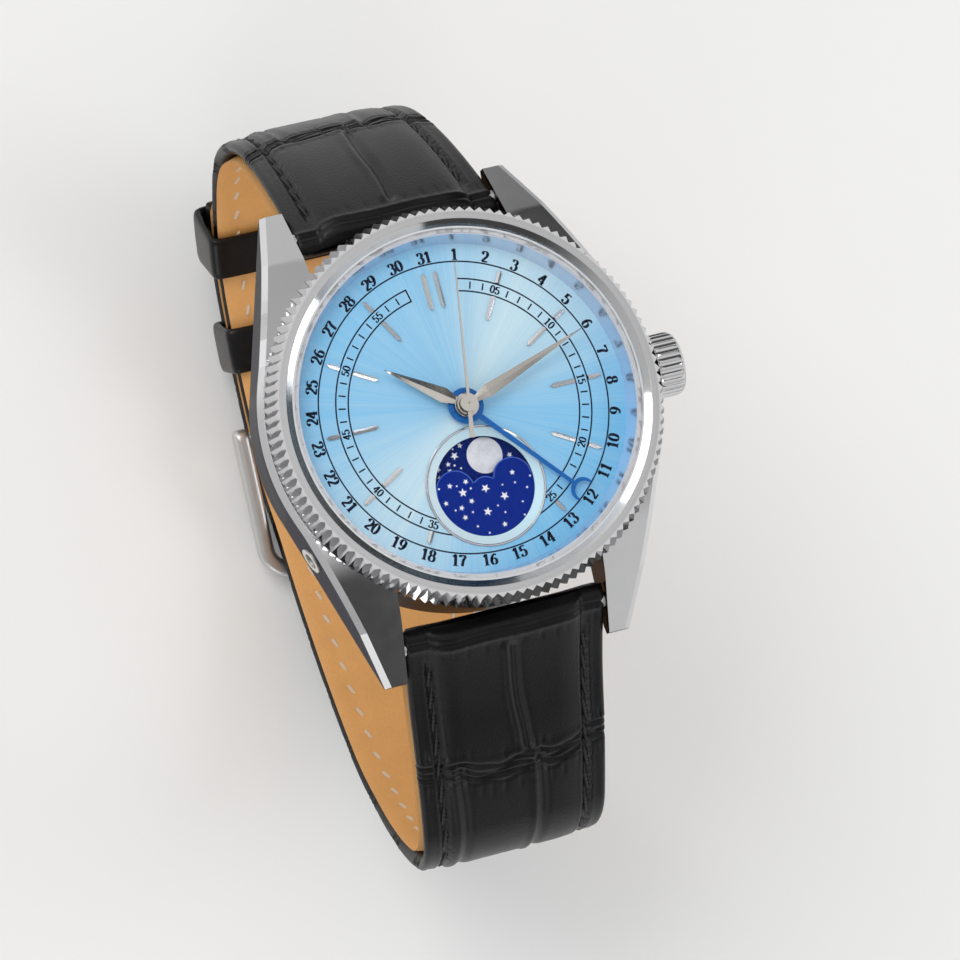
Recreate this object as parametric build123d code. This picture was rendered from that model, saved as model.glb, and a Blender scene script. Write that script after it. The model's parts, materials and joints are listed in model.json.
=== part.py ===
from build123d import *
import math
import os

# A moon phase wristwatch with its strap buckled in a loop under the case.
# Millimetres. The origin is the centre of the case back's flat face, +Z out of the dial,
# +Y to 12 o'clock and +X to 3 o'clock. A drop is a distance below the dial face.

# Shared clearances
running = 0.04
slip = 0.05
overrun = 1.0

# Radii from the movement's space outwards to the case, each a step from the one before
case_bore = 16.8
dial_radius = case_bore - slip - slip
bore_lip = 0.4
bezel_bore = case_bore + bore_lip
seat_ledge = 0.3
bezel_seat_radius = bezel_bore + seat_ledge
gasket_wall = 0.2
crystal_radius = bezel_seat_radius - gasket_wall
gasket_ledge = 0.25
gasket_lip = bezel_bore - gasket_ledge
crystal_wall = 0.9
crystal_inner_radius = crystal_radius - crystal_wall
flange_lip = 0.4
flange_bore = dial_radius - flange_lip
flange_top_bore = bezel_bore - flange_lip
bezel_slope = 0.7
bezel_slope_radius = bezel_seat_radius + bezel_slope
bezel_flat = 0.75
bezel_valley_radius = bezel_slope_radius + bezel_flat
flute_depth = 0.4
bezel_crest_radius = bezel_valley_radius + flute_depth
foot_step = 0.15
bezel_foot_radius = bezel_crest_radius + foot_step
bezel_flare = 0.6
bezel_radius = bezel_foot_radius + bezel_flare
case_margin = 0.2
case_radius = bezel_radius + case_margin

# Case back's radii, from the same bore
collar_gap = 0.1
back_collar = case_bore - collar_gap
back_groove_inset = 0.15
back_gasket_inner = case_bore + back_groove_inset
back_groove_width = 0.8
back_gasket_outer = back_gasket_inner + back_groove_width
back_rim = 0.45
back_radius = back_gasket_outer + back_rim
back_wall = 0.85
case_wall_radius = back_radius + back_wall

# Case and lugs
dial_top = 10.6
case_underside = 1.4
band_drop = 0.9
strap_roll_radius = 1.75
strap_width = 21.0
lug_clearance = 0.2
lug_gap = strap_width + lug_clearance
bar_reach = case_wall_radius + strap_roll_radius + collar_gap
lug_overhang = 3.3
lug_reach = bar_reach + lug_overhang
lug_angle = 19.8
lug_root = 15.0
shelf_reach = 8.5
shoulder_back = 5.4
shoulder_reach = lug_reach - shoulder_back
shoulder_drop = 4.7
shoulder_bulge = 0.45
facet_back = 2.8
facet_reach = lug_reach - facet_back
facet_drop = 6.7
tip_drop = 8.9
tip_foot = 0.6
heel_back = 0.9
heel_reach = lug_reach - heel_back
heel_height = 0.25
arch_reach = 17.6
flank_foot = 4.8
tip_lean = 0.3
tip_lean_height = 0.7
flank_bevel = 0.55
bevel_steps = 8

# Bezel with its flutes
flute_count = 120
bezel_rise = 2.93
bezel_flute_drop = 0.1
bezel_slope_rise = 2.5
crest_cut = 0.3

# Crystal, its gasket and the flange ring under it
crystal_seat_rise = 2.1
crystal_lift = 0.1
crystal_side = 0.75
crystal_chamfer = 0.4
crystal_crown = 0.55
crystal_thickness = 1.1

# Dial, moon window and markers
dial_thickness = 0.4
dial_centre_hole = 1.3
moon_distance = 8.0
window_radius = 4.96
window_bevel = 0.84
window_bevel_depth = 0.25
frame_ring_radius = 6.03
frame_ring_width = 0.23
frame_ring_height = 0.16
marker_width = 0.46
marker_height = 0.32
marker_edge = 0.14
marker_point = 0.35
marker_inner = (8.87, 11.45)
marker_outer = (12.85, 14.2)
twelve_span = (9.9, 13.7)
twelve_spread = 0.62
hours_with_both = (1, 2, 3, 4, 8, 9, 10, 11)
hours_with_outer = (5, 7)

# Moon plate and moon disc
moon_plate_drop = 0.4
moon_plate_thickness = 0.3
moon_plate_radius = 6.3
hump_radius = 1.95
hump_spread = 2.95
hump_lift = 0.3
middle_bump = 1.5
middle_bump_drop = 0.5
moon_disc_teeth = 59
moon_disc_radius = 5.75
moon_disc_tooth = 0.22
moon_disc_drop = 0.95
moon_disc_thickness = 0.25
moon_radius = 1.8
moon_orbit = 3.15
moon_inlay = 0.05
moon_turn = 16.7
moon_post_radius = 0.3

# Hands
hand_lifts = {"date": 0.5, "hour": 0.95, "minute": 1.45, "seconds": 1.95}
date_hand_thickness = 0.15
date_hub_radius = 1.78
date_hub_bore = 0.9
date_arm_root = 0.52
date_arm_tip = 0.36
date_arm_length = 13.1
date_angle = 139.2
crescent_outer = 1.2
crescent_inner = 0.98
crescent_centre = 14.1
crescent_offset = 0.22
crescent_end = 14.35
hour_hand_length = 8.75
hour_hand_angle = 306.1
hour_hand_half = 0.78
hour_hub_radius = 1.2
minute_hand_length = 13.96
minute_hand_angle = 70.3
minute_hand_half = 0.68
minute_hub_radius = 1.05
hand_shoulder = 2.45
hand_neck_half = 0.3
hand_tip_half = 0.05
hand_edge = 0.06
hand_height = 0.2
seconds_hand_length = 13.96
seconds_hand_angle = 9.7
seconds_tail = 3.4
seconds_tail_half = 0.26
seconds_tip_half = 0.05
seconds_hub_radius = 0.85
seconds_height = 0.14
seconds_cap = 0.1

# Arbors and pipes at the centre, from the inside out
seconds_arbor = 0.18
seconds_hub_hole = 0.1
cannon_pipe = 0.52
hour_pipe = 0.85
date_pipe = 1.2

# Wheels on the dial side
cannon_teeth = 12
cannon_radius = 0.78
cannon_drop = 2.15
cannon_leaf_height = 0.3
minute_wheel_teeth = 36
minute_pinion_teeth = 10
hour_wheel_teeth = 40
motion_distance = 3.0
motion_angle = 160.0
minute_wheel_drop = 2.2
minute_wheel_thickness = 0.2
minute_pinion_height = 0.35
hour_wheel_drop = 1.86
hour_wheel_thickness = 0.2
date_wheel_teeth = 31
date_wheel_radius = 4.0
date_wheel_tooth = 0.45
date_wheel_drop = 1.45
date_wheel_thickness = 0.25
wheel_tooth = 0.2

# Plates and bridges
plate_radius = 13.0
plate_drop = 2.5
plate_thickness = 1.6
pivot_depth = 0.6
bridge_drop = 6.15
bridge_thickness = 0.75
bridge_margin = 12.9
jewel_radius = 0.62
jewel_shrink = 0.1
pillar_radius = 0.9
screw_head = 0.62
screw_head_height = 0.25
screw_shank = 0.3
screw_slot = 0.16
slot_turn = 37.0

# Going train
barrel_distance = 6.3
barrel_angle = 50.0
barrel_teeth = 84
barrel_radius = 5.35
barrel_drop = 4.55
barrel_height = 0.8
barrel_wall = 0.14
barrel_bore = 0.45
barrel_arbor_radius = 0.38
arbor_core = 1.1
mainspring_thickness = 0.14
mainspring_pitch = 0.75
mainspring_turns = 5
ratchet_teeth = 48
ratchet_radius = 4.35
ratchet_drop = 5.5
ratchet_thickness = 0.3
crown_wheel_teeth = 24
crown_wheel_radius = 2.2
crown_wheel_distance = 8.6
crown_wheel_hub = 0.7
centre_wheel_teeth = 80
centre_wheel_radius = 4.4
centre_wheel_drop = 4.22
centre_wheel_thickness = 0.2
centre_pinion_radius = 0.88
centre_pinion_height = 0.28
pinion_leaves = 10
pinion_radius = 0.56
train_distance = 5.0
third_angle = 200.0
third_wheel_teeth = 75
third_wheel_radius = 4.38
third_wheel_drop = 5.05
third_wheel_thickness = 0.2
fourth_wheel_teeth = 84
fourth_wheel_radius = 4.85
fourth_wheel_drop = 5.88
fourth_wheel_thickness = 0.15
escape_distance = 5.35
escape_angle = 255.0
escape_pinion_leaves = 7
escape_pinion_radius = 0.44
escape_teeth = 15
escape_radius = 2.35
escape_tooth = 0.5
escape_drop = 5.48
escape_thickness = 0.16
pivot_radius = 0.13
arbor_radius = 0.22
spoke_width = 0.36
rim_width = 0.55
hub_radius = 0.7

# Escapement and balance
balance_distance = 8.95
balance_angle = 302.1
balance_radius = 3.5
balance_rim = 0.4
balance_arm_turn = 35.0
balance_drop = 4.75
balance_thickness = 0.28
balance_staff = 0.2
roller_radius = 0.85
roller_drop = 5.4
roller_thickness = 0.1
fork_distance = 5.84
fork_angle = 284.1
fork_width = 0.42
fork_arm = 2.7
pallet_spread = 1.35
pallet_width = 0.34
hairspring_drop = 5.72
hairspring_height = 0.16
hairspring_thickness = 0.12
hairspring_pitch = 0.56
hairspring_turns = 4
cock_foot_distance = 10.6
cock_foot_angle = 333.7
cock_foot_radius = 1.3
pallet_foot_distance = 10.98
pallet_foot_angle = 263.2

# Rotor and the ring round the movement
back_glass_radius = 13.3
rotor_gap = 0.8
rotor_radius = back_glass_radius - rotor_gap
rotor_drop = 7.2
rotor_web = 0.35
rotor_rim_width = 2.1
rotor_rim_height = 1.15
rotor_bearing_radius = 1.7
rotor_bearing_bore = 0.5
holder_height = 5.2
holder_ledge = 1.0
holder_recess = 14.5

# Case back
back_flange = case_underside
glass_ledge = 0.7
back_window = back_glass_radius - glass_ledge
back_glass_recess = 0.35
back_glass_thickness = 1.1
back_collar_height = 1.3
back_notch_count = 6
back_notch_width = 2.4
back_notch_depth = 0.9
back_groove_depth = 0.55

# Crown, stem and winding parts
stem_drop = 4.3
crown_radius = 3.3
crown_foot_radius = 3.05
crown_shoulder_radius = 3.2
crown_face_radius = 2.35
crown_length = 2.95
crown_round = 0.85
crown_gap = 0.3
crown_dome = 0.15
crown_grooves = 30
crown_groove_depth = 0.24
crown_recess_radius = 1.75
crown_recess_depth = 2.0
crown_tube_radius = 1.25
crown_tube_bore = 0.85
crown_tube_out = 0.95
stem_radius = 0.5
stem_end = 9.4
crown_gasket_width = 0.6
winding_pinion_teeth = 12
winding_pinion_radius = 1.12
winding_pinion_length = 1.1
winding_pinion_start = 10.3

# Corrector push in the flank
corrector_reach = 17.9
corrector_side = 10.7
corrector_drop = 4.3
corrector_head = 0.8
corrector_head_length = 1.1
corrector_head_recess = 0.25
corrector_shaft = 0.42
corrector_length = 4.4
corrector_sleeve_radius = 1.35
corrector_sleeve_length = 2.2
corrector_travel = 0.5
corrector_clip = 0.75
corrector_clip_length = 0.3
corrector_dimple = 0.45
corrector_spring_wire = 0.12
corrector_spring_radius = 0.62
corrector_spring_turns = 4

# Strap, measured along its inner face in the YZ plane
bar_drop = 7.7
bar_radius = 0.75
bar_tip_radius = 0.45
bar_tip_length = 0.9
strap_narrowing = 3.0
buckle_width = strap_width - strap_narrowing
taper_top_drop = 8.0
taper_end_drop = 44.0
lug_end_thickness = strap_roll_radius * 2
short_thickness = 2.4
long_thickness = 2.6
thin_after = 34.0
lining_thickness = 0.8
layer_gap = 0.1
short_start_angle = -44.0
short_length = 66.4
short_route_shares = (
    (0.149, -6.0),
    (0.127, -8.0),
    (0.201, -30.0),
    (0.149, -36.0),
    (0.179, -34.0),
    (0.195, -14.0),
)
long_start_angle = 229.4
long_length = 78.1
long_route_shares = (
    (0.141, -12.0),
    (0.162, 6.9),
    (0.098, 61.4),
    (0.190, 26.2),
    (0.102, 21.7),
    (0.307, 17.1),
)
tail_run_in = 3.2
tail_lift = 0.35
tail_length = 28.0
route_step = 1.5
strap_hole_radius = 0.8
strap_hole_pitch = 6.5
strap_holes_before = 2
strap_holes_after = 2
tail_tip_radius = 6.0

# Keepers and buckle
keeper_length = 5.0
keeper_wall = 0.9
keeper_clearance = 0.3
keeper_place = 8.0
buckle_bar_out = 1.6
buckle_bar_lift = 1.2
buckle_bar_radius = 0.6
buckle_bar_tip = 0.4
buckle_arm_width = 1.5
buckle_arm_end = 1.15
buckle_front_radius = 0.95
buckle_front_back = 0.8
end_roll_radius = 1.15
tongue_width = 1.3
tongue_ring = 1.15
tongue_thickness = 0.7
tongue_rise = 4.7
tongue_bend = 2.9
tongue_over = 1.5
tongue_notch = 2.6
tongue_slot = 3.9
tongue_slot_start = 0.7
tongue_slot_width = 1.9
foot_shares = {"barrel": (0.8837, (150.0, 100.0, 22.0)), "train": (0.8682, (207.7, 242.3))}
barrel_bridge_shares = (
    (-1, 0.045),
    (-0.23, 0.045),
    (-0.12, -0.2),
    (1, -0.2),
    (1, 1),
    (-1, 1),
)
train_bridge_shares = (
    (-1, 0.025),
    (-0.245, 0.025),
    (-0.15, -0.225),
    (0.01, -0.232),
    (-0.025, -0.465),
    (-0.28, -0.98),
    (-1, -1),
)

crystal_bottom = dial_top + crystal_seat_rise + crystal_lift
stem_height = dial_top - stem_drop
bridge_top = dial_top - bridge_drop
plate_top = dial_top - plate_drop
plate_bottom = plate_top - plate_thickness
bar_height = dial_top - bar_drop


def polar(distance, angle):
    """Point at a distance and an angle in degrees from +X."""
    turn = math.radians(angle)
    return (distance * math.cos(turn), distance * math.sin(turn))


def clock(distance, angle):
    """Point at a distance and an angle in degrees clockwise from 12 o'clock."""
    turn = math.radians(angle)
    return (distance * math.sin(turn), distance * math.cos(turn))


barrel_at = polar(barrel_distance, barrel_angle)
third_at = polar(train_distance, third_angle)
escape_at = polar(escape_distance, escape_angle)
fork_at = polar(fork_distance, fork_angle)
balance_at = polar(balance_distance, balance_angle)
crown_wheel_at = (crown_wheel_distance, 0)
motion_at = polar(motion_distance, motion_angle)
moon_at = (0, -moon_distance)
centre_at = (0, 0)
cock_foot_at = polar(cock_foot_distance, cock_foot_angle)
pallet_foot_at = polar(pallet_foot_distance, pallet_foot_angle)


def bridge_feet(name):
    """Places of a bridge's feet: a share of the edge radius and an angle for each."""
    share, angles = foot_shares[name]
    return tuple(polar(share * bridge_margin, angle) for angle in angles)


barrel_bridge_feet = bridge_feet("barrel")
train_bridge_feet = bridge_feet("train")


def rod(radius, low, high, at=centre_at):
    """Upright cylinder from one height to another."""
    return extrude(Plane.XY.offset(low) * Pos(*at) * Circle(radius), high - low)


def tube(outer, inner, low, high, at=centre_at):
    """Upright ring from one height to another."""
    ring = Circle(outer) - Circle(inner)
    return extrude(Plane.XY.offset(low) * Pos(*at) * ring, high - low)


def prism(points, low, high):
    """Upright solid over a closed outline."""
    outline = make_face(Polyline(*points, close=True))
    return extrude(Plane.XY.offset(low) * outline, high - low)


def turned(points):
    """Solid of revolution about Z from an outline of (radius, height) points."""
    outline = make_face(Polyline(*points, close=True))
    return revolve(Plane.XZ * outline, Axis.Z)


def toothed(teeth, tip_radius, tooth, low, high, at=centre_at):
    """Spur wheel blank: a closed outline with one trapezoid for each tooth."""
    tooth_shares = ((0.0, 0), (0.28, 0), (0.4, 1), (0.72, 1), (0.84, 0))
    points = []
    for index in range(teeth):
        for share, out in tooth_shares:
            radius = tip_radius if out else tip_radius - tooth
            points.append(polar(radius, (index + share) * 360.0 / teeth))
    outline = make_face(Polyline(*points, close=True))
    return extrude(Plane.XY.offset(low) * Pos(*at) * outline, high - low)


def wheel(teeth, tip_radius, low, high, at, spokes=4, tooth=wheel_tooth):
    """Toothed wheel with a rim, a hub and spokes."""
    blank = toothed(teeth, tip_radius, tooth, low, high, at)
    rim_inner = tip_radius - tooth - rim_width
    window = tube(rim_inner, hub_radius, low - overrun, high + overrun, at)
    for index in range(spokes):
        spoke = Box(rim_inner + rim_inner, spoke_width, high - low + overrun + overrun)
        middle = (low + high) / 2
        window -= Pos(at[0], at[1], middle) * Rot(0, 0, index * 180.0 / spokes) * spoke
    return blank - window


def bored(solid, radius, at=centre_at):
    """Solid with a hole right through it along Z."""
    box = solid.bounding_box()
    return solid - rod(radius, box.min.Z - overrun, box.max.Z + overrun, at)


def lying_rod(radius, start, end, at_y, at_z):
    """Cylinder along X."""
    return extrude(Plane.YZ.offset(start) * Pos(at_y, at_z) * Circle(radius), end - start)


def spiral_band(first_radius, pitch, turns, thickness, low, height, at):
    """Flat spiral of half circles, each wider by half a pitch, with a thin wall."""
    outer, inner = [], []
    for half in range(turns + turns):
        radius = first_radius + half * pitch / 2
        side = 1 if half % 2 == 0 else -1
        centre = (pitch / 4) * (-side)
        for share in (0.0, 0.5, 1.0):
            turn = math.pi * (share if side > 0 else 1 + share)
            for row, rim in ((outer, radius + thickness / 2), (inner, radius - thickness / 2)):
                row.append((centre + rim * math.cos(turn), rim * math.sin(turn)))

    def arcs(row):
        return [ThreePointArc(*row[k : k + 3]) for k in range(0, len(row), 3)]

    edges = arcs(outer) + arcs(inner)
    edges += [Line(outer[0], inner[0]), Line(outer[-1], inner[-1])]
    outline = make_face(edges)
    return extrude(Plane.XY.offset(low) * Pos(*at) * outline, height)


def dome_middle(radius, low, rise):
    """Point half way out on a round cap of a given radius and rise."""
    ball = (radius * radius + rise * rise) / (rise + rise)
    half = radius / 2
    return (half, low + rise - ball + math.sqrt(ball * ball - half * half))


# Case group


def flank_section(foot_radius, foot_low, foot_high):
    """Half of the case's section, (distance, height): a foot that leans out to an upright flank."""
    return [
        (0, 0),
        (foot_radius, 0),
        (foot_radius, foot_low),
        (case_radius, foot_high),
        (case_radius, dial_top),
        (0, dial_top),
    ]


def along_flank(distance, along, height):
    """Point of the flank that leaves the circle at the lug angle, by distance from the centre."""
    turn = math.radians(lug_angle)
    x = distance * math.cos(turn) - along * math.sin(turn)
    y = distance * math.sin(turn) + along * math.cos(turn)
    return (x, y, height)


def flank_length():
    turn = math.radians(lug_angle)
    return (lug_reach - case_radius * math.sin(turn)) / math.cos(turn) + overrun


def lug_block():
    """Straight flank from where it leaves the circle to past a lug tip, as a ruled solid."""
    root = flank_section(case_wall_radius, case_underside, flank_foot)
    tip = flank_section(case_radius - tip_lean, tip_lean_height / 2, tip_lean_height)
    sections = []
    for along, outline in ((0, root), (flank_length(), tip)):
        points = [along_flank(distance, along, height) for distance, height in outline]
        sections.append(make_face(Polyline(*points, close=True)))
    return loft(sections, ruled=True)


def flank_blank():
    """Round case with a straight flank to each of the four lug tips."""
    body = turned(flank_section(case_wall_radius, case_underside, flank_foot))
    block = lug_block()
    for quarter in (block, mirror(block, Plane.XZ)):
        body += quarter
        body += mirror(quarter, Plane.YZ)
    return body


def shoulder_arc(sy):
    """Gently bulged fall of the lug's top, from the flat band to the shoulder."""
    shelf = (sy * shelf_reach, dial_top - band_drop)
    shoulder = (sy * shoulder_reach, dial_top - shoulder_drop)
    middle_y = (shelf[0] + shoulder[0]) / 2
    middle_z = (shelf[1] + shoulder[1]) / 2 + shoulder_bulge
    return ThreePointArc(shelf, (middle_y, middle_z), shoulder)


def lug_side():
    """Outline from the side: flat band, falling lug top, facet, tip and arched underside."""
    half = []
    for sy in (1, -1):
        shelf = (sy * shelf_reach, dial_top - band_drop)
        shoulder = (sy * shoulder_reach, dial_top - shoulder_drop)
        facet = (sy * facet_reach, dial_top - facet_drop)
        tip = (sy * lug_reach, dial_top - tip_drop)
        foot = (sy * lug_reach, tip_foot)
        heel = (sy * heel_reach, heel_height)
        arch = (sy * arch_reach, case_underside)
        edges = [
            Line((0, shelf[1]), shelf),
            shoulder_arc(sy),
            Line(shoulder, facet),
            Line(facet, tip),
            Line(tip, foot),
            Line(foot, heel),
            Line(heel, arch),
            Line(arch, (0, case_underside)),
            Line((0, case_underside), (0, shelf[1])),
        ]
        half.append(make_face(edges))
    return half[0] + half[1]


def bevel_section(edge, top):
    """Corner to cut off, (distance, height): it meets the top and runs out at 45 degrees."""
    out = flank_bevel + overrun
    return [(edge - flank_bevel, top), (edge + overrun, top - out), (edge + overrun, top + out)]


def bevel_cutter():
    """What the bevel takes off all round: a ring at the sides and a loft down each lug."""
    turn = math.radians(lug_angle)
    root_y = case_radius * math.sin(turn)
    band_top = dial_top - band_drop
    ring = turned(bevel_section(case_radius, band_top))
    cutter = ring & Box((case_radius + overrun) * 2, root_y * 2, dial_top * 4)
    arc = shoulder_arc(1)
    line = [(root_y, band_top)]
    line += [((arc @ (k / bevel_steps)).X, (arc @ (k / bevel_steps)).Y) for k in range(bevel_steps + 1)]
    facet = (facet_reach, dial_top - facet_drop)
    tip = (lug_reach, dial_top - tip_drop)
    fall = (facet[1] - tip[1]) / (tip[0] - facet[0])
    line += [facet, (tip[0] + overrun, tip[1] - fall * overrun)]
    sections = []
    for y, top in line:
        corners = []
        for distance, height in bevel_section(case_radius, top):
            x = (distance - y * math.sin(turn)) / math.cos(turn)
            corners.append((x, y, height))
        sections.append(make_face(Polyline(*corners, close=True)))
    strip = loft(sections, ruled=True)
    for quarter in (strip, mirror(strip, Plane.XZ)):
        cutter += quarter
        cutter += mirror(quarter, Plane.YZ)
    return cutter


def make_mid_case():
    side = extrude(Plane.YZ * lug_side(), case_radius + overrun, both=True)
    body = flank_blank() & side
    gap = Box(lug_gap, lug_reach, dial_top * 2)
    for sy in (1, -1):
        body -= Pos(0, sy * (lug_root + lug_reach / 2), 0) * gap
    body -= bevel_cutter()
    wall = rod(case_wall_radius, case_underside, dial_top - band_drop)
    body += wall
    body = bored(body, case_bore)
    groove_high = case_underside + back_groove_depth
    body -= tube(back_gasket_outer, back_gasket_inner, 0, groove_high)
    body -= lying_rod(crown_tube_radius, 0, case_radius + overrun, 0, stem_height)
    body -= corrector_rod(corrector_sleeve_radius, -overrun, corrector_reach)
    for sy in (1, -1):
        tips = lug_gap / 2 + bar_tip_length
        hole = lying_rod(bar_tip_radius, -tips, tips, sy * bar_reach, bar_height)
        body -= hole
    return body


def make_bezel():
    low = dial_top - bezel_flute_drop
    high = dial_top + bezel_rise
    rings = []
    for height, crest, valley in (
        (low, bezel_radius, bezel_foot_radius),
        (high, bezel_crest_radius, bezel_valley_radius),
    ):
        points = []
        for index in range(flute_count):
            points.append(polar(crest, index * 360.0 / flute_count))
            points.append(polar(valley, (index + 0.5) * 360.0 / flute_count))
        rings.append(Plane.XY.offset(height) * make_face(Polyline(*points, close=True)))
    flutes = loft(rings, ruled=True)
    reach = bezel_radius + overrun
    trim = turned(
        [
            (0, low),
            (bezel_foot_radius, low),
            (bezel_foot_radius + crest_cut, low + crest_cut),
            (reach, high),
            (0, high),
        ]
    )
    body = (flutes & trim) + rod(bezel_foot_radius, dial_top - band_drop, low)
    seat = dial_top + crystal_seat_rise
    inside = turned(
        [
            (0, dial_top - band_drop - overrun),
            (bezel_bore, dial_top - band_drop - overrun),
            (bezel_bore, seat),
            (bezel_seat_radius, seat),
            (bezel_seat_radius, dial_top + bezel_slope_rise),
            (bezel_slope_radius, high),
            (bezel_slope_radius, high + overrun),
            (0, high + overrun),
        ]
    )
    return body - inside


def make_crystal():
    bottom = crystal_bottom
    side_top = bottom + crystal_side
    rim = crystal_radius - crystal_chamfer
    rim_top = side_top + crystal_chamfer
    top = rim_top + crystal_crown
    inner_top = top - crystal_thickness
    outer_mid = dome_middle(rim, rim_top, crystal_crown)
    inner_mid = dome_middle(crystal_inner_radius, bottom, inner_top - bottom)
    edges = [
        Line((crystal_inner_radius, bottom), (crystal_radius, bottom)),
        Line((crystal_radius, bottom), (crystal_radius, side_top)),
        Line((crystal_radius, side_top), (rim, rim_top)),
        ThreePointArc((rim, rim_top), outer_mid, (0, top)),
        Line((0, top), (0, inner_top)),
        ThreePointArc((0, inner_top), inner_mid, (crystal_inner_radius, bottom)),
    ]
    return revolve(Plane.XZ * make_face(edges), Axis.Z)


def make_crystal_gasket():
    seat = dial_top + crystal_seat_rise
    return turned(
        [
            (gasket_lip, seat),
            (bezel_seat_radius, seat),
            (bezel_seat_radius, dial_top + bezel_slope_rise),
            (crystal_radius, dial_top + bezel_slope_rise),
            (crystal_radius, crystal_bottom),
            (gasket_lip, crystal_bottom),
        ]
    )


def make_flange_ring():
    seat = dial_top + crystal_seat_rise
    return turned(
        [
            (flange_bore, dial_top),
            (bezel_bore, dial_top),
            (bezel_bore, seat),
            (flange_top_bore, seat),
        ]
    )


def make_case_back():
    body = rod(back_radius, 0, back_flange) + rod(back_collar, 0, back_flange + back_collar_height)
    body = bored(body, back_window)
    body -= rod(back_glass_radius, back_glass_recess, back_flange + back_collar_height + overrun)
    notch = Box(back_notch_depth + back_notch_depth, back_notch_width, back_flange)
    for index in range(back_notch_count):
        turn = Rot(0, 0, (index + 0.5) * 360.0 / back_notch_count)
        body -= turn * Pos(back_radius, 0, 0) * notch
    return body


def make_back_glass():
    """Stepped window whose outer face is level with the ring round it."""
    low = back_glass_recess
    body = rod(back_window - slip, 0, low)
    return body + rod(back_glass_radius, low, low + back_glass_thickness)


def make_back_gasket():
    return tube(
        back_gasket_outer - slip,
        back_gasket_inner + slip,
        case_underside,
        case_underside + back_groove_depth - slip,
    )


# Dial group


def make_dial():
    body = rod(dial_radius, dial_top - dial_thickness, dial_top)
    body = bored(body, dial_centre_hole)
    body = bored(body, window_radius, moon_at)
    bevel = turned(
        [
            (0, dial_top - window_bevel_depth),
            (window_radius, dial_top - window_bevel_depth),
            (window_radius + window_bevel, dial_top),
            (window_radius + window_bevel, dial_top + overrun),
            (0, dial_top + overrun),
        ]
    )
    return body - Pos(moon_at[0], moon_at[1], 0) * bevel


def make_moon_frame():
    inner = frame_ring_radius - frame_ring_width
    ring = tube(frame_ring_radius, inner, dial_top, dial_top + frame_ring_height, moon_at)
    rims = ring.edges().group_by(Axis.Z)[-1]
    return chamfer(rims, frame_ring_width / 3)


def baton(start, end, point_in, point_out):
    """Applied bar along +Y with a ridge and pointed ends."""
    half = marker_width / 2
    low, edge, high = dial_top, dial_top + marker_edge, dial_top + marker_height
    house = [(-half, low), (half, low), (half, edge), (0, high), (-half, edge)]
    section = make_face(Polyline(*house, close=True))
    bar = extrude(Plane.XZ.offset(-start) * section, -(end - start))
    plan = [(half, end - (marker_point if point_out else 0)), (half, start + (marker_point if point_in else 0))]
    plan += [(-x, y) for x, y in plan]
    if point_in:
        plan.append((0, start))
    if point_out:
        plan.append((0, end))
    return bar & prism(sorted_outline(plan), low - overrun, high + overrun)


def sorted_outline(points):
    """Points of a convex outline in order round their middle, repeats left out."""
    unique = list(dict.fromkeys(points))
    mx = sum(p[0] for p in unique) / len(unique)
    my = sum(p[1] for p in unique) / len(unique)
    return sorted(unique, key=lambda p: math.atan2(p[1] - my, p[0] - mx))


def make_hour_markers():
    pieces = []
    for hour in hours_with_both + hours_with_outer:
        turn = Rot(0, 0, -hour * 360.0 / 12)
        pieces.append(turn * baton(*marker_outer, False, True))
        if hour in hours_with_both:
            pieces.append(turn * baton(*marker_inner, True, False))
    for side in (1, -1):
        pieces.append(Pos(side * twelve_spread, 0, 0) * baton(*twelve_span, True, True))
    return Compound(children=[p.solid() for p in pieces])


def make_moon_plate():
    top = dial_top - moon_plate_drop
    disc = Circle(moon_plate_radius)
    lower = Pos(0, -moon_plate_radius) * Rectangle(moon_plate_radius * 2, moon_plate_radius * 2)
    shape = disc & (Pos(0, hump_lift) * lower)
    for sx in (1, -1):
        shape += Pos(sx * hump_spread, hump_lift) * Circle(hump_radius)
    shape += Pos(0, -middle_bump_drop) * Circle(middle_bump)
    low = top - moon_plate_thickness
    return extrude(Plane.XY.offset(low) * Pos(*moon_at) * shape, moon_plate_thickness)


def make_moon_disc():
    top = dial_top - moon_disc_drop
    low = top - moon_disc_thickness
    disc = toothed(moon_disc_teeth, moon_disc_radius, moon_disc_tooth, low, top, moon_at)
    return bored(disc, moon_post_radius + running, moon_at)


def make_moons():
    top = dial_top - moon_disc_drop
    moons = []
    for turn in (moon_turn, moon_turn + 180.0):
        x, y = clock(moon_orbit, turn)
        at = (moon_at[0] + x, moon_at[1] + y)
        moons.append(rod(moon_radius, top, top + moon_inlay, at).solid())
    return Compound(children=moons)


# Hands


def dauphine(length, half, hub, bore, low, angle):
    """Hand with a narrow neck, wide shoulders, a long taper and a ridge along the middle."""
    neck_share = 0.8
    sections = []
    for reach, width in (
        (hub * neck_share, hand_neck_half),
        (hand_shoulder, half),
        (length, hand_tip_half),
    ):
        ridge = hand_height if width == half else hand_height * neck_share
        house = [
            (-width, low),
            (width, low),
            (width, low + hand_edge),
            (0, low + ridge),
            (-width, low + hand_edge),
        ]
        outline = make_face(Polyline(*house, close=True))
        sections.append(Plane.XZ.offset(-reach) * outline)
    blade = loft(sections, ruled=True)
    hand = blade + rod(hub, low, low + hand_height)
    return Rot(0, 0, -angle) * bored(hand, bore)


def make_hour_hand():
    low = dial_top + hand_lifts["hour"]
    return dauphine(hour_hand_length, hour_hand_half, hour_hub_radius, cannon_pipe + running, low,
                    hour_hand_angle)


def make_minute_hand():
    low = dial_top + hand_lifts["minute"]
    return dauphine(minute_hand_length, minute_hand_half, minute_hub_radius,
                    seconds_arbor + running, low, minute_hand_angle)


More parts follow.
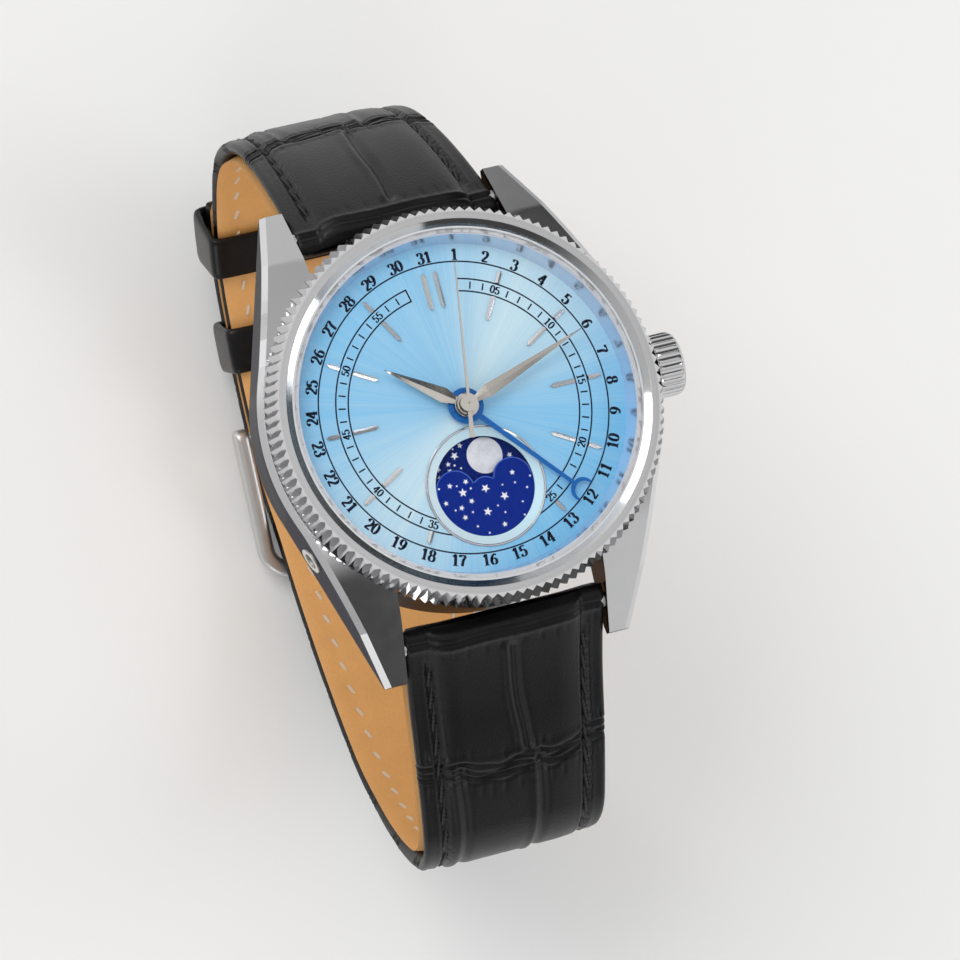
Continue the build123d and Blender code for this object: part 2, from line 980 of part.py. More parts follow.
def make_seconds_hand():
    low = dial_top + hand_lifts["seconds"]
    half = (seconds_tail_half + seconds_tip_half) / 2
    plan = [
        (-seconds_tail_half, -seconds_tail),
        (seconds_tail_half, -seconds_tail),
        (half, 0),
        (seconds_tip_half, seconds_hand_length),
        (-seconds_tip_half, seconds_hand_length),
        (-half, 0),
    ]
    body = prism(plan, low, low + seconds_height)
    body += rod(seconds_hub_radius, low, low + seconds_height + seconds_cap)
    return Rot(0, 0, -seconds_hand_angle) * bored(body, seconds_hub_hole)


def make_date_hand():
    low = dial_top + hand_lifts["date"]
    high = low + date_hand_thickness
    arm = [
        (-date_arm_root / 2, date_hub_radius - date_arm_root),
        (date_arm_root / 2, date_hub_radius - date_arm_root),
        (date_arm_tip / 2, date_arm_length),
        (-date_arm_tip / 2, date_arm_length),
    ]
    body = prism(arm, low, high) + rod(date_hub_radius, low, high)
    cup = rod(crescent_outer, low, high, (0, crescent_centre))
    cup -= rod(crescent_inner, low, high, (0, crescent_centre + crescent_offset))
    beyond = crescent_end + crescent_outer
    cup -= Pos(0, beyond, low) * Box(crescent_outer * 4, crescent_outer * 2, dial_top)
    return Rot(0, 0, -date_angle) * bored(body + cup, date_hub_bore)


# Dial side wheels


def make_cannon_pinion():
    low = dial_top - cannon_drop - cannon_leaf_height
    leaves = toothed(cannon_teeth, cannon_radius, wheel_tooth, low, low + cannon_leaf_height)
    pipe = rod(cannon_pipe, dial_top - centre_wheel_drop, dial_top + hand_lifts["minute"])
    wheel_top = dial_top - centre_wheel_drop
    wheel_low = wheel_top - centre_wheel_thickness
    disc = wheel(centre_wheel_teeth, centre_wheel_radius, wheel_low, wheel_top, centre_at)
    pinion_low = dial_top - barrel_drop - centre_pinion_height
    pinion = toothed(cannon_teeth, centre_pinion_radius, wheel_tooth, pinion_low, wheel_low)
    train = bored(disc + pinion, seconds_arbor + running)
    return bored(leaves + pipe, seconds_arbor + running), train


def make_minute_wheel():
    top = dial_top - minute_wheel_drop
    low = top - minute_wheel_thickness
    radius = motion_distance - cannon_radius - slip
    body = toothed(minute_wheel_teeth, radius, wheel_tooth, low, top, motion_at)
    leaf = motion_distance - hour_wheel_radius() - slip
    body += toothed(minute_pinion_teeth, leaf, wheel_tooth / 2, top, top + minute_pinion_height,
                    motion_at)
    return bored(body, pivot_radius + running, motion_at)


def hour_wheel_radius():
    """The hour wheel takes four fifths of the distance to the minute pinion."""
    return motion_distance * hour_wheel_teeth / (hour_wheel_teeth + minute_pinion_teeth)


def make_hour_wheel():
    top = dial_top - hour_wheel_drop
    low = top - hour_wheel_thickness
    body = toothed(hour_wheel_teeth, hour_wheel_radius(), wheel_tooth, low, top)
    body += rod(hour_pipe, low, dial_top + hand_lifts["hour"])
    return bored(body, cannon_pipe + running)


def make_date_wheel():
    top = dial_top - date_wheel_drop
    low = top - date_wheel_thickness
    body = toothed(date_wheel_teeth, date_wheel_radius, date_wheel_tooth, low, top)
    body += rod(date_pipe, low, dial_top + hand_lifts["date"])
    return bored(body, hour_pipe + running)


# Plates and bridges


def stem_slot():
    """Space for the stem and the winding pinion, from the centre side to the rim."""
    wide = winding_pinion_radius + slip + slip
    length = plate_radius + overrun - stem_end
    middle = stem_end + length / 2 - slip * 4
    return Pos(middle, 0, stem_height) * Box(length, wide * 2, wide * 2)


def make_main_plate():
    body = rod(plate_radius, plate_bottom, plate_top)
    body = bored(body, cannon_pipe + slip)
    body -= stem_slot()
    for at in (third_at, escape_at, fork_at, balance_at, barrel_at):
        body -= rod(barrel_arbor_radius + running, plate_bottom - overrun,
                    plate_bottom + pivot_depth, at)
    body += rod(pivot_radius, plate_top, dial_top - hour_wheel_drop, motion_at)
    post_top = dial_top - moon_disc_drop
    return body + rod(moon_post_radius, plate_top, post_top, moon_at)


def bridge_slab(points, feet):
    """Bridge over a closed outline inside the plate's edge, with a pillar at each foot."""
    low = bridge_top - bridge_thickness
    slab = prism(points, low, bridge_top) & rod(bridge_margin, low, bridge_top)
    for foot in feet:
        slab += rod(pillar_radius, low, plate_bottom, foot)
        slab -= rod(screw_shank, low - overrun, bridge_top, foot)
        slab -= rod(screw_head + slip, low - overrun, low + screw_head_height, foot)
    return slab


def jewelled(slab, places):
    for at in places:
        slab = bored(slab, jewel_radius, at)
    return slab


def make_barrel_bridge():
    points = [(x * bridge_margin, y * bridge_margin) for x, y in barrel_bridge_shares]
    slab = bridge_slab(points, barrel_bridge_feet)
    slab = jewelled(slab, (centre_at,))
    slab = bored(slab, barrel_arbor_radius + running, barrel_at)
    hub_top = dial_top - ratchet_drop
    slab += rod(crown_wheel_hub, bridge_top, hub_top, crown_wheel_at)
    return slab


def make_train_bridge():
    points = [(x * bridge_margin, y * bridge_margin) for x, y in train_bridge_shares]
    return jewelled(bridge_slab(points, train_bridge_feet), (third_at, escape_at))


def cock(axis, foot, axis_radius, foot_radius):
    """Narrow bridge over one pivot with one foot."""
    low = bridge_top - bridge_thickness
    rounds = Pos(*axis) * Circle(axis_radius), Pos(*foot) * Circle(foot_radius)
    outline = make_hull(rounds[0].edges() + rounds[1].edges())
    slab = extrude(Plane.XY.offset(low) * outline, bridge_thickness)
    slab += rod(foot_radius, low, plate_bottom, foot)
    slab -= rod(screw_shank, low - overrun, bridge_top, foot)
    slab -= rod(screw_head + slip, low - overrun, low + screw_head_height, foot)
    return bored(slab, jewel_radius, axis)


def make_pallet_bridge():
    return cock(fork_at, pallet_foot_at, pillar_radius, pillar_radius)


def make_balance_cock():
    return cock(balance_at, cock_foot_at, cock_foot_radius, cock_foot_radius)


def make_jewels():
    low = bridge_top - bridge_thickness + jewel_shrink
    jewels = []
    for at in (third_at, escape_at, fork_at, balance_at):
        jewels.append(tube(jewel_radius, pivot_radius + running, low, bridge_top, at).solid())
    jewels.append(tube(jewel_radius, seconds_arbor + running, low, bridge_top).solid())
    return Compound(children=jewels)


def make_bridge_screws():
    low = bridge_top - bridge_thickness
    feet = barrel_bridge_feet + train_bridge_feet + (cock_foot_at, pallet_foot_at)
    screws = []
    for foot in feet:
        screw = rod(screw_head, low, low + screw_head_height, foot)
        screw += rod(screw_shank, low + screw_head_height, bridge_top, foot)
        slot = Box(screw_head * 3, screw_slot, screw_head_height)
        screw -= Pos(foot[0], foot[1], low) * Rot(0, 0, slot_turn * len(screws)) * slot
        screws.append(screw.solid())
    return Compound(children=screws)


# Going train


def arbor(solid, radius, low, high, at):
    """Wheel with its arbor and a thin pivot at each end."""
    body = solid + rod(radius, low, high, at)
    body += rod(pivot_radius, bridge_top - bridge_thickness + jewel_shrink, low, at)
    return body + rod(pivot_radius, high, plate_bottom + pivot_depth / 2, at)


def make_barrel():
    top = dial_top - barrel_drop
    low = top - barrel_height
    drum = toothed(barrel_teeth, barrel_radius, wheel_tooth, low, top, barrel_at)
    hollow = barrel_radius - wheel_tooth - barrel_wall - barrel_wall
    drum -= rod(hollow, low + barrel_wall, top - barrel_wall, barrel_at)
    return bored(drum, barrel_bore, barrel_at)


def make_mainspring():
    low = dial_top - barrel_drop - barrel_height + barrel_wall + slip
    height = barrel_height - barrel_wall * 2 - slip * 2
    return spiral_band(arbor_core, mainspring_pitch, mainspring_turns, mainspring_thickness, low,
                       height, barrel_at)


def make_ratchet():
    top = dial_top - ratchet_drop
    low = top - ratchet_thickness
    disc = toothed(ratchet_teeth, ratchet_radius, wheel_tooth, low, top, barrel_at)
    body = disc + rod(barrel_arbor_radius, low, plate_bottom + pivot_depth / 2, barrel_at)
    core_low = dial_top - barrel_drop - barrel_height + barrel_wall + slip
    core_high = dial_top - barrel_drop - barrel_wall - slip
    core = arbor_core - mainspring_thickness * 2
    body += rod(core, core_low, core_high, barrel_at)
    return body + rod(barrel_arbor_radius, bridge_top - bridge_thickness, low, barrel_at)


def make_crown_wheel():
    top = dial_top - ratchet_drop
    low = top - ratchet_thickness
    disc = toothed(crown_wheel_teeth, crown_wheel_radius - slip, wheel_tooth, low, top,
                   crown_wheel_at)
    return bored(disc, crown_wheel_hub + running, crown_wheel_at)


def make_third_wheel():
    top = dial_top - third_wheel_drop
    low = top - third_wheel_thickness
    disc = wheel(third_wheel_teeth, third_wheel_radius, low, top, third_at, spokes=2)
    leaf_top = dial_top - centre_wheel_drop
    leaves = toothed(pinion_leaves, pinion_radius - slip, wheel_tooth / 2, top, leaf_top, third_at)
    return arbor(disc + leaves, arbor_radius, low - slip, leaf_top, third_at)


def make_fourth_wheel():
    top = dial_top - fourth_wheel_drop
    low = top - fourth_wheel_thickness
    disc = wheel(fourth_wheel_teeth, fourth_wheel_radius, low, top, centre_at, spokes=2)
    leaf_top = dial_top - barrel_drop - centre_pinion_height - slip
    leaf_low = dial_top - third_wheel_drop - third_wheel_thickness - slip
    leaves = toothed(pinion_leaves, pinion_radius, wheel_tooth / 2, leaf_low, leaf_top)
    low_end = bridge_top - bridge_thickness + jewel_shrink
    return disc + leaves + rod(seconds_arbor, low_end, dial_top + hand_lifts["seconds"])


def make_escape_wheel():
    top = dial_top - escape_drop
    low = top - escape_thickness
    points = []
    for index in range(escape_teeth):
        step = 360.0 / escape_teeth
        points.append(polar(escape_radius - escape_tooth, index * step))
        points.append(polar(escape_radius, (index + 0.35) * step))
        points.append(polar(escape_radius, (index + 0.5) * step))
    outline = make_face(Polyline(*points, close=True))
    disc = extrude(Plane.XY.offset(low) * Pos(*escape_at) * outline, escape_thickness)
    rim = escape_radius - escape_tooth - spoke_width
    window = tube(rim, hub_radius, low - overrun, top + overrun, escape_at)
    for index in range(2):
        spoke = Box(rim + rim, spoke_width, overrun * 4)
        window -= Pos(*escape_at, low) * Rot(0, 0, index * 90.0) * spoke
    disc -= window
    leaf_low = dial_top - fourth_wheel_drop - fourth_wheel_thickness
    leaves = toothed(escape_pinion_leaves, escape_pinion_radius, wheel_tooth / 2, leaf_low, low,
                     escape_at)
    return arbor(disc + leaves, arbor_radius, leaf_low - slip, plate_bottom - slip, escape_at)


def aim(start, end):
    """Angle in degrees from one point to another."""
    return math.degrees(math.atan2(end[1] - start[1], end[0] - start[0]))


def make_pallet_fork():
    top = dial_top - escape_drop
    low = top - escape_thickness
    to_balance = aim(fork_at, balance_at)
    lever = Pos(fork_arm / 2, 0) * Rectangle(fork_arm, fork_width)
    slot = Pos(fork_arm, 0) * Rectangle(fork_width, fork_width / 3)
    wings = Rectangle(fork_width, pallet_spread * 2)
    shape = lever - slot + wings
    for side in (1, -1):
        reach = fork_width * 1.2
        shape += Pos(-reach / 2, side * pallet_spread) * Rectangle(reach, pallet_width)
    body = extrude(Plane.XY.offset(low) * Pos(*fork_at) * Rot(0, 0, to_balance) * shape,
                   escape_thickness)
    return arbor(body, arbor_radius, low - slip, plate_bottom - slip, fork_at)


def make_balance():
    top = dial_top - balance_drop
    low = top - balance_thickness
    rim = tube(balance_radius, balance_radius - balance_rim, low, top, balance_at)
    arm = Box(balance_radius * 2 - balance_rim, spoke_width * 2, balance_thickness)
    hub = rod(hub_radius, low, top, balance_at)
    body = rim + Pos(*balance_at, (low + top) / 2) * Rot(0, 0, balance_arm_turn) * arm + hub
    roller_top = dial_top - roller_drop
    body += rod(roller_radius, roller_top - roller_thickness, roller_top, balance_at)
    return arbor(body, balance_staff, dial_top - bridge_drop + slip, plate_bottom - slip,
                 balance_at)


def make_hairspring():
    low = dial_top - hairspring_drop - hairspring_height
    first = balance_staff + hairspring_thickness + slip * 4
    return spiral_band(first, hairspring_pitch, hairspring_turns, hairspring_thickness, low,
                       hairspring_height, balance_at)


# Rotor and ring


def make_rotor():
    top = dial_top - rotor_drop
    low = top - rotor_web
    half = rod(rotor_radius, low, top)
    half -= Pos(0, rotor_radius, low) * Box(rotor_radius * 3, rotor_radius * 2, overrun * 4)
    rim = tube(rotor_radius, rotor_radius - rotor_rim_width, top - rotor_rim_height, top)
    rim -= Pos(0, rotor_radius, low) * Box(rotor_radius * 3, rotor_radius * 2, overrun * 8)
    hub = rotor_bearing_radius + hub_radius
    body = half + rim + rod(hub, low, top)
    return bored(body, rotor_bearing_radius + running)


def make_rotor_bearing():
    top = bridge_top - bridge_thickness
    low = dial_top - rotor_drop - rotor_web - slip
    return tube(rotor_bearing_radius, rotor_bearing_bore, low, top)


def make_movement_holder():
    high = dial_top - dial_thickness
    ring = tube(case_bore, plate_radius, high - holder_height, high)
    ring -= rod(holder_recess, high - holder_ledge, high)
    ring -= lying_rod(stem_radius + slip * 4, 0, case_radius, 0, stem_height)
    return ring - corrector_rod(corrector_clip + slip, corrector_sleeve_length - overrun,
                                corrector_length + corrector_travel + overrun)


# Crown group


def quarter_middle(outer, inner, low, high):
    """Middle of a quarter turn that rounds an edge off, from (outer, low) to (inner, high)."""
    share = math.cos(math.radians(45))
    return (inner + (outer - inner) * share, low + (high - low) * share)


def make_crown():
    """Barrel with a rounded outer edge and a ring of round grooves along it."""
    start = case_radius + crown_gap
    end = start + crown_length
    shoulder = end - crown_round
    face = end - crown_dome
    profile = [
        Line((0, start), (crown_foot_radius, start)),
        ThreePointArc(
            (crown_foot_radius, start),
            (crown_radius, (start + shoulder) / 2),
            (crown_shoulder_radius, shoulder),
        ),
        ThreePointArc(
            (crown_shoulder_radius, shoulder),
            quarter_middle(crown_shoulder_radius, crown_face_radius, shoulder, face),
            (crown_face_radius, face),
        ),
        ThreePointArc(
            (crown_face_radius, face), dome_middle(crown_face_radius, face, crown_dome), (0, end)
        ),
        Line((0, end), (0, start)),
    ]
    barrel = Rot(0, 90, 0) * revolve(Plane.XZ * make_face(profile), Axis.Z)
    grooved = Circle(crown_radius + overrun)
    for index in range(crown_grooves):
        place = Rot(0, 0, index * 360.0 / crown_grooves) * Pos(crown_radius + crown_groove_depth, 0)
        grooved -= place * Circle(crown_groove_depth * 2)
    body = barrel & extrude(Plane.YZ.offset(start - overrun) * grooved, crown_length + overrun * 2)
    body -= lying_rod(crown_recess_radius, start - overrun, start + crown_recess_depth, 0, 0)
    body -= lying_rod(stem_radius, start, start + crown_recess_depth + crown_gap * 2, 0, 0)
    return Pos(0, 0, stem_height) * body


def make_stem():
    end = case_radius + crown_gap + crown_recess_depth + crown_gap * 2
    return lying_rod(stem_radius, stem_end, end, 0, stem_height)


def make_crown_tube():
    inside = case_bore + slip
    end = case_radius + crown_tube_out
    body = lying_rod(crown_tube_radius, inside, end, 0, stem_height)
    return body - lying_rod(crown_tube_bore, 0, end + overrun, 0, stem_height)


def make_crown_gasket():
    start = case_radius + crown_tube_out + crown_gap
    body = lying_rod(crown_recess_radius, start, start + crown_gasket_width, 0, stem_height)
    return body - lying_rod(stem_radius, 0, start + overrun, 0, stem_height)


def make_winding_pinion():
    shape = []
    for index in range(winding_pinion_teeth):
        step = 360.0 / winding_pinion_teeth
        shape.append(polar(winding_pinion_radius - wheel_tooth, index * step))
        shape.append(polar(winding_pinion_radius - wheel_tooth, (index + 0.3) * step))
        shape.append(polar(winding_pinion_radius, (index + 0.45) * step))
        shape.append(polar(winding_pinion_radius, (index + 0.8) * step))
    outline = make_face(Polyline(*shape, close=True)) - Circle(stem_radius + running)
    body = extrude(Plane.YZ.offset(winding_pinion_start) * outline, winding_pinion_length)
    return Pos(0, 0, stem_height) * body


# Corrector group


def corrector_rod(radius, start, end):
    """Cylinder along the corrector's axis, from one depth inside the flank to another."""
    plane = corrector_plane()
    return extrude(plane.offset(start) * Circle(radius), end - start)


def corrector_plane():
    turn = math.radians(lug_angle)
    inward = (math.cos(turn), math.sin(turn), 0)
    place = (-corrector_reach, -corrector_side, dial_top - corrector_drop)
    return Plane(origin=place, x_dir=(0, 0, 1), z_dir=inward)


def make_corrector_push():
    head_end = corrector_head_recess + corrector_head_length
    body = corrector_rod(corrector_head, corrector_head_recess, head_end)
    body += corrector_rod(corrector_shaft, head_end, corrector_length)
    body += corrector_rod(corrector_clip, corrector_length, corrector_length + corrector_clip_length)
    return body - corrector_rod(corrector_dimple, 0, corrector_head_recess * 2)


def make_corrector_sleeve():
    body = corrector_rod(corrector_sleeve_radius, 0, corrector_sleeve_length)
    head_space = corrector_head_recess + corrector_head_length + corrector_travel + slip
    body -= corrector_rod(corrector_head + running, -overrun, head_space)
    return body - corrector_rod(corrector_shaft + running, 0, corrector_sleeve_length + overrun)


def make_corrector_spring():
    start = corrector_sleeve_length + corrector_spring_wire
    end = corrector_length - corrector_spring_wire
    pitch = (end - start) / corrector_spring_turns
    line = Helix(pitch, end - start, corrector_spring_radius)
    section = Plane(origin=line @ 0, z_dir=line % 0) * Circle(corrector_spring_wire / 2)
    wire = sweep(section, line, is_frenet=True)
    return corrector_plane().offset(start).location * wire


# Strap routes


def walk(start, angle, length, shares):
    """Stations along a chain of tangent arcs, each given by its share of the length and its turn.

    A station is (y, z, heading in degrees, distance walked).
    """
    y, z = start
    heading, walked = angle, 0.0
    stations = [(y, z, heading, walked)]
    for share, turn in shares:
        run = length * share
        steps = max(1, round(run / route_step))
        for _ in range(steps):
            middle = math.radians(heading + turn / steps / 2)
            y += run / steps * math.cos(middle)
            z += run / steps * math.sin(middle)
            heading += turn / steps
            walked += run / steps
            stations.append((y, z, heading, walked))
    return stations


def out_of(station, side, distance):
    """Point at a distance from a station, outwards from the wrist."""
    turn = math.radians(station[2] + side * 90.0)
    return (station[0] + distance * math.cos(turn), station[1] + distance * math.sin(turn))


def thickness_at(walked, end_thickness):
    """Padding near the lugs that thins towards the buckle."""
    share = max(0.0, 1.0 - walked / thin_after)
    return end_thickness + (lug_end_thickness - end_thickness) * share * share * (3 - share * 2)


def route_start(side, angle, reach):
    turn = math.radians(angle + side * 90.0)
    drop = lug_end_thickness / 2
    return (reach - drop * math.cos(turn), bar_height - drop * math.sin(turn))


short_side = 1
long_side = -1
short_route = walk(route_start(short_side, short_start_angle, bar_reach), short_start_angle,
                   short_length, short_route_shares)
long_front = walk(route_start(long_side, long_start_angle, -bar_reach), long_start_angle,
                  long_length, long_route_shares)


def bezier(start, end, steps):
    """Smooth run between two stations that keeps both headings."""
    span = math.hypot(end[0] - start[0], end[1] - start[1]) / 3
    pull = [math.radians(s[2]) for s in (start, end)]
    knots = [
        start[:2],
        (start[0] + span * math.cos(pull[0]), start[1] + span * math.sin(pull[0])),
        (end[0] - span * math.cos(pull[1]), end[1] - span * math.sin(pull[1])),
        end[:2],
    ]
    stations = []
    walked = start[3]
    before = start
    for index in range(1, steps + 1):
        t = index / steps
        s = 1 - t
        weights = (s**3, 3 * s * s * t, 3 * s * t * t, t**3)
        y, z = (sum(w * k[axis] for w, k in zip(weights, knots)) for axis in (0, 1))
        slope = [3 * s * s, 6 * s * t, 3 * t * t]
        dy, dz = (
            sum(w * (knots[i + 1][axis] - knots[i][axis]) for i, w in enumerate(slope))
            for axis in (0, 1)
        )
        walked += math.hypot(y - before[0], z - before[1])
        before = (y, z, math.degrees(math.atan2(dz, dy)) % 360.0, walked)
        stations.append(before)
    return stations


def long_stations():
    """The long half: down from the lugs, under the wrist, over the bar and along the short half."""
    last = short_route[-1]
    lift = short_thickness + layer_gap
    turn = math.radians(last[2])
    y = last[0] + tail_run_in * math.cos(turn)
    z = last[1] + tail_run_in * math.sin(turn)
    landing_y, landing_z = out_of((y, z, last[2], 0), short_side, lift + tail_lift)
    landing = (landing_y, landing_z, (last[2] + 180.0) % 360.0, 0)
    ramp = bezier(long_front[-1], landing, round(tail_run_in * 3))
    stations = long_front + ramp
    walked = stations[-1][3]
    tail = []
    for station in reversed(short_route):
        back = last[3] - station[3]
        if back > tail_length:
            break
        y, z = out_of(station, short_side, lift)
        tail.append((y, z, (station[2] + 180.0) % 360.0, walked + tail_run_in + back))
    return stations, tail


long_route, long_tail = long_stations()
long_all = long_route + long_tail


def ribbon(stations, side, inner, outer):
    """Solid between two offsets of a route, across the strap's whole width.

    inner and outer give each station's distance out from the inner face.
    """
    rows = []
    for offset in (inner, outer):
        rows.append([out_of(s, side, offset(s)) for s in stations])
    edges = [
        Spline(*rows[0]),
        Line(rows[0][-1], rows[1][-1]),
        Spline(*rows[1]),
        Line(rows[1][0], rows[0][0]),
    ]
    outline = make_face(edges)
    return extrude(Plane.YZ * outline, strap_width, both=True)


def strap_taper():
    """Block that narrows the strap from the lugs to the buckle."""
    top = dial_top
    high = dial_top - taper_top_drop
    low = dial_top - taper_end_drop
    bottom = low - taper_end_drop
    points = []
    for side in (1, -1):
        wide, narrow = side * strap_width / 2, side * buckle_width / 2
        edge = [(wide, top), (wide, high), (narrow, low), (narrow, bottom)]
        points += edge if side > 0 else edge[::-1]
    outline = make_face(Polyline(*points, close=True))
    return extrude(Plane.XZ * outline, lug_reach * 3, both=True)


def short_outer(station):
    return thickness_at(station[3], short_thickness)


def long_outer(station):
    return thickness_at(station[3], long_thickness)


def local_plane(station, side, lift=0.0):
    """Plane on the strap: its x runs along the route, its normal points out from the wrist."""
    y, z = out_of(station, side, lift)
    turn = math.radians(station[2])
    normal = math.radians(station[2] + side * 90.0)
    return Plane(
        origin=(0, y, z),
        x_dir=(0, math.cos(turn), math.sin(turn)),
        z_dir=(0, math.cos(normal), math.sin(normal)),
    )


buckle_plane = local_plane(short_route[-1], short_side)
front_station = min(long_front, key=lambda s: abs(s[3] - (long_front[-1][3] - buckle_front_back)))


def buckle_point(along, out):
    """(y, z) of a point in the buckle's own plane."""
    point = buckle_plane.from_local_coords(Vector(along, 0, out))
    return (point.Y, point.Z)


bar_at = buckle_point(buckle_bar_out, buckle_bar_lift)
front_lift = long_thickness + keeper_clearance + buckle_front_radius
front_at = out_of(front_station, long_side, front_lift)
front_local = buckle_plane.to_local_coords(Vector(0, *front_at))


def make_short_half():
    taper = strap_taper()
    lining = ribbon(short_route, short_side, lambda s: 0.0, lambda s: lining_thickness) & taper
    leather = ribbon(short_route, short_side, lambda s: lining_thickness, short_outer)
    roll = lying_rod(strap_roll_radius, -strap_width, strap_width, bar_reach, bar_height)
    end_roll = lying_rod(end_roll_radius, -strap_width, strap_width, *bar_at)
    bridge = local_box(-buckle_bar_lift, buckle_bar_out, slip, short_thickness - slip, strap_width)
    leather = (leather + roll + end_roll + bridge) & taper
    leather -= lining
    leather -= lying_rod(bar_radius, -strap_width, strap_width, bar_reach, bar_height)
    leather -= lying_rod(buckle_bar_radius, -strap_width, strap_width, *bar_at)
    notch = local_box(
        buckle_bar_out - tongue_ring - keeper_clearance,
        buckle_bar_out + tongue_ring * 2,
        -tongue_ring,
        short_thickness + tongue_ring,
        tongue_notch / 2,
    )
    leather -= notch
    lining -= notch
    lining -= lying_rod(buckle_bar_radius, -strap_width, strap_width, *bar_at)
    return leather, lining


def local_box(start, end, low, high, half_width):
    """Box in the buckle's plane: along the strap, out from the wrist, and across."""
    outline = [buckle_point(a, n) for a, n in ((start, low), (end, low), (end, high), (start, high))]
    face = make_face(Polyline(*outline, close=True))
    return extrude(Plane.YZ * face, half_width, both=True)


def hole_stations():
    """Stations of the strap's round holes, either side of the tongue's slot."""
    middle = long_route[-1][3] - tongue_slot / 2
    wanted = [middle - strap_hole_pitch * k for k in range(1, strap_holes_before + 1)]
    wanted += [middle + strap_hole_pitch * k for k in range(2, strap_holes_after + 2)]
    return [min(long_all, key=lambda s: abs(s[3] - w)) for w in wanted]


def make_long_half():
    taper = strap_taper()
    lining = ribbon(long_all, long_side, lambda s: 0.0, lambda s: lining_thickness) & taper
    leather = ribbon(long_all, long_side, lambda s: lining_thickness, long_outer)
    roll = lying_rod(strap_roll_radius, -strap_width, strap_width, -bar_reach, bar_height)
    leather = (leather + roll) & taper
    leather -= lining
    leather -= lying_rod(bar_radius, -strap_width, strap_width, -bar_reach, bar_height)
    cuts = local_box(
        tongue_slot_start,
        tongue_slot_start + tongue_slot,
        short_thickness,
        short_thickness + long_thickness * 2,
        tongue_slot_width / 2,
    )
    for station in hole_stations():
        plane = local_plane(station, long_side, long_thickness / 2)
        cuts += extrude(plane * Circle(strap_hole_radius), long_thickness, both=True)
    end = local_plane(long_all[-1], long_side, long_thickness / 2)
    square = Rectangle(tail_tip_radius * 2, buckle_width * 2)
    round_end = RectangleRounded(tail_tip_radius * 6, buckle_width, tail_tip_radius)
    tip = square - Pos(-tail_tip_radius * 3, 0) * round_end
    cuts += extrude(end * tip, long_thickness, both=True)
    return leather - cuts, lining - cuts


def make_spring_bars():
    bars = []
    for side in (1, -1):
        inner = lug_gap / 2 - slip
        bar = lying_rod(bar_radius, -inner, inner, side * bar_reach, bar_height)
        tips = lug_gap / 2 + bar_tip_length
        bar += lying_rod(bar_tip_radius, -tips, tips, side * bar_reach, bar_height)
        bars.append(bar.solid())
    return Compound(children=bars)


def keeper_frame(side_gap):
    """Section of a keeper: across the strap and out from the wrist."""
    half = buckle_width / 2 + side_gap
    low = -keeper_clearance
    high = short_thickness + layer_gap + long_thickness + keeper_clearance
    middle = (low + high) / 2
    inner = Pos(0, middle) * Rectangle(half * 2, high - low)
    outer = Pos(0, middle) * Rectangle((half + keeper_wall) * 2, high - low + keeper_wall * 2)
    return outer - inner


def make_fixed_keeper():
    place = short_route[-1][3] - keeper_place
    station = min(short_route, key=lambda s: abs(s[3] - place))
    plane = local_plane(station, short_side)
    across = Plane(origin=plane.origin, x_dir=(1, 0, 0), z_dir=plane.x_dir)
    flip = 1 if across.y_dir.dot(plane.z_dir) > 0 else -1
    section = keeper_frame(0)
    frame = across * (section if flip > 0 else mirror(section, Plane.XZ))
    return extrude(frame, keeper_length / 2, both=True)


def keeper_bend():
    """Centre and radius of the strap's bend that the loose keeper runs round."""
    share, turn = short_route_shares[4]
    run = short_length * share
    radius = run / math.radians(abs(turn))
    before = sum(s for s, _ in short_route_shares[:4]) * short_length
    station = min(short_route, key=lambda s: abs(s[3] - before))
    centre = out_of(station, -short_side, radius)
    return centre, radius, station, turn


def make_loose_keeper():
    centre, radius, station, turn = keeper_bend()
    middle_angle = station[2] + turn / 2
    outward = math.radians(middle_angle + 90.0)
    spread = math.degrees(keeper_length / radius)
    start = Plane(
        origin=(0, centre[0], centre[1]),
        x_dir=(1, 0, 0),
        z_dir=(0, math.cos(outward - math.pi / 2), math.sin(outward - math.pi / 2)),
    )
    flip = start.y_dir.dot(Vector(0, math.cos(outward), math.sin(outward))) > 0
    section = keeper_frame(keeper_clearance)
    frame = Pos(0, radius if flip else -radius) * (
        section if flip else mirror(section, Plane.XZ)
    )
    axis = Axis((0, centre[0], centre[1]), (1, 0, 0))
    ring = revolve(start * frame, axis, spread)
    return ring.rotate(axis, -spread / 2)


def make_buckle_frame():
    inner = buckle_width / 2 + keeper_clearance
    ends = Pos(*bar_at) * Circle(buckle_arm_end), Pos(*front_at) * Circle(buckle_front_radius)
    outline = make_hull(ends[0].edges() + ends[1].edges())
    outline -= Pos(*bar_at) * Circle(buckle_bar_tip + running)
    arm = extrude(Plane.YZ.offset(inner) * outline, buckle_arm_width)
    body = arm + mirror(arm, Plane.YZ)
    return body + lying_rod(buckle_front_radius, -inner - slip, inner + slip, *front_at)


def make_buckle_bar():
    inner = buckle_width / 2 + keeper_clearance - slip
    tips = inner + buckle_arm_width
    body = lying_rod(buckle_bar_radius, -inner, inner, *bar_at)
    return body + lying_rod(buckle_bar_tip, -tips, tips, *bar_at)


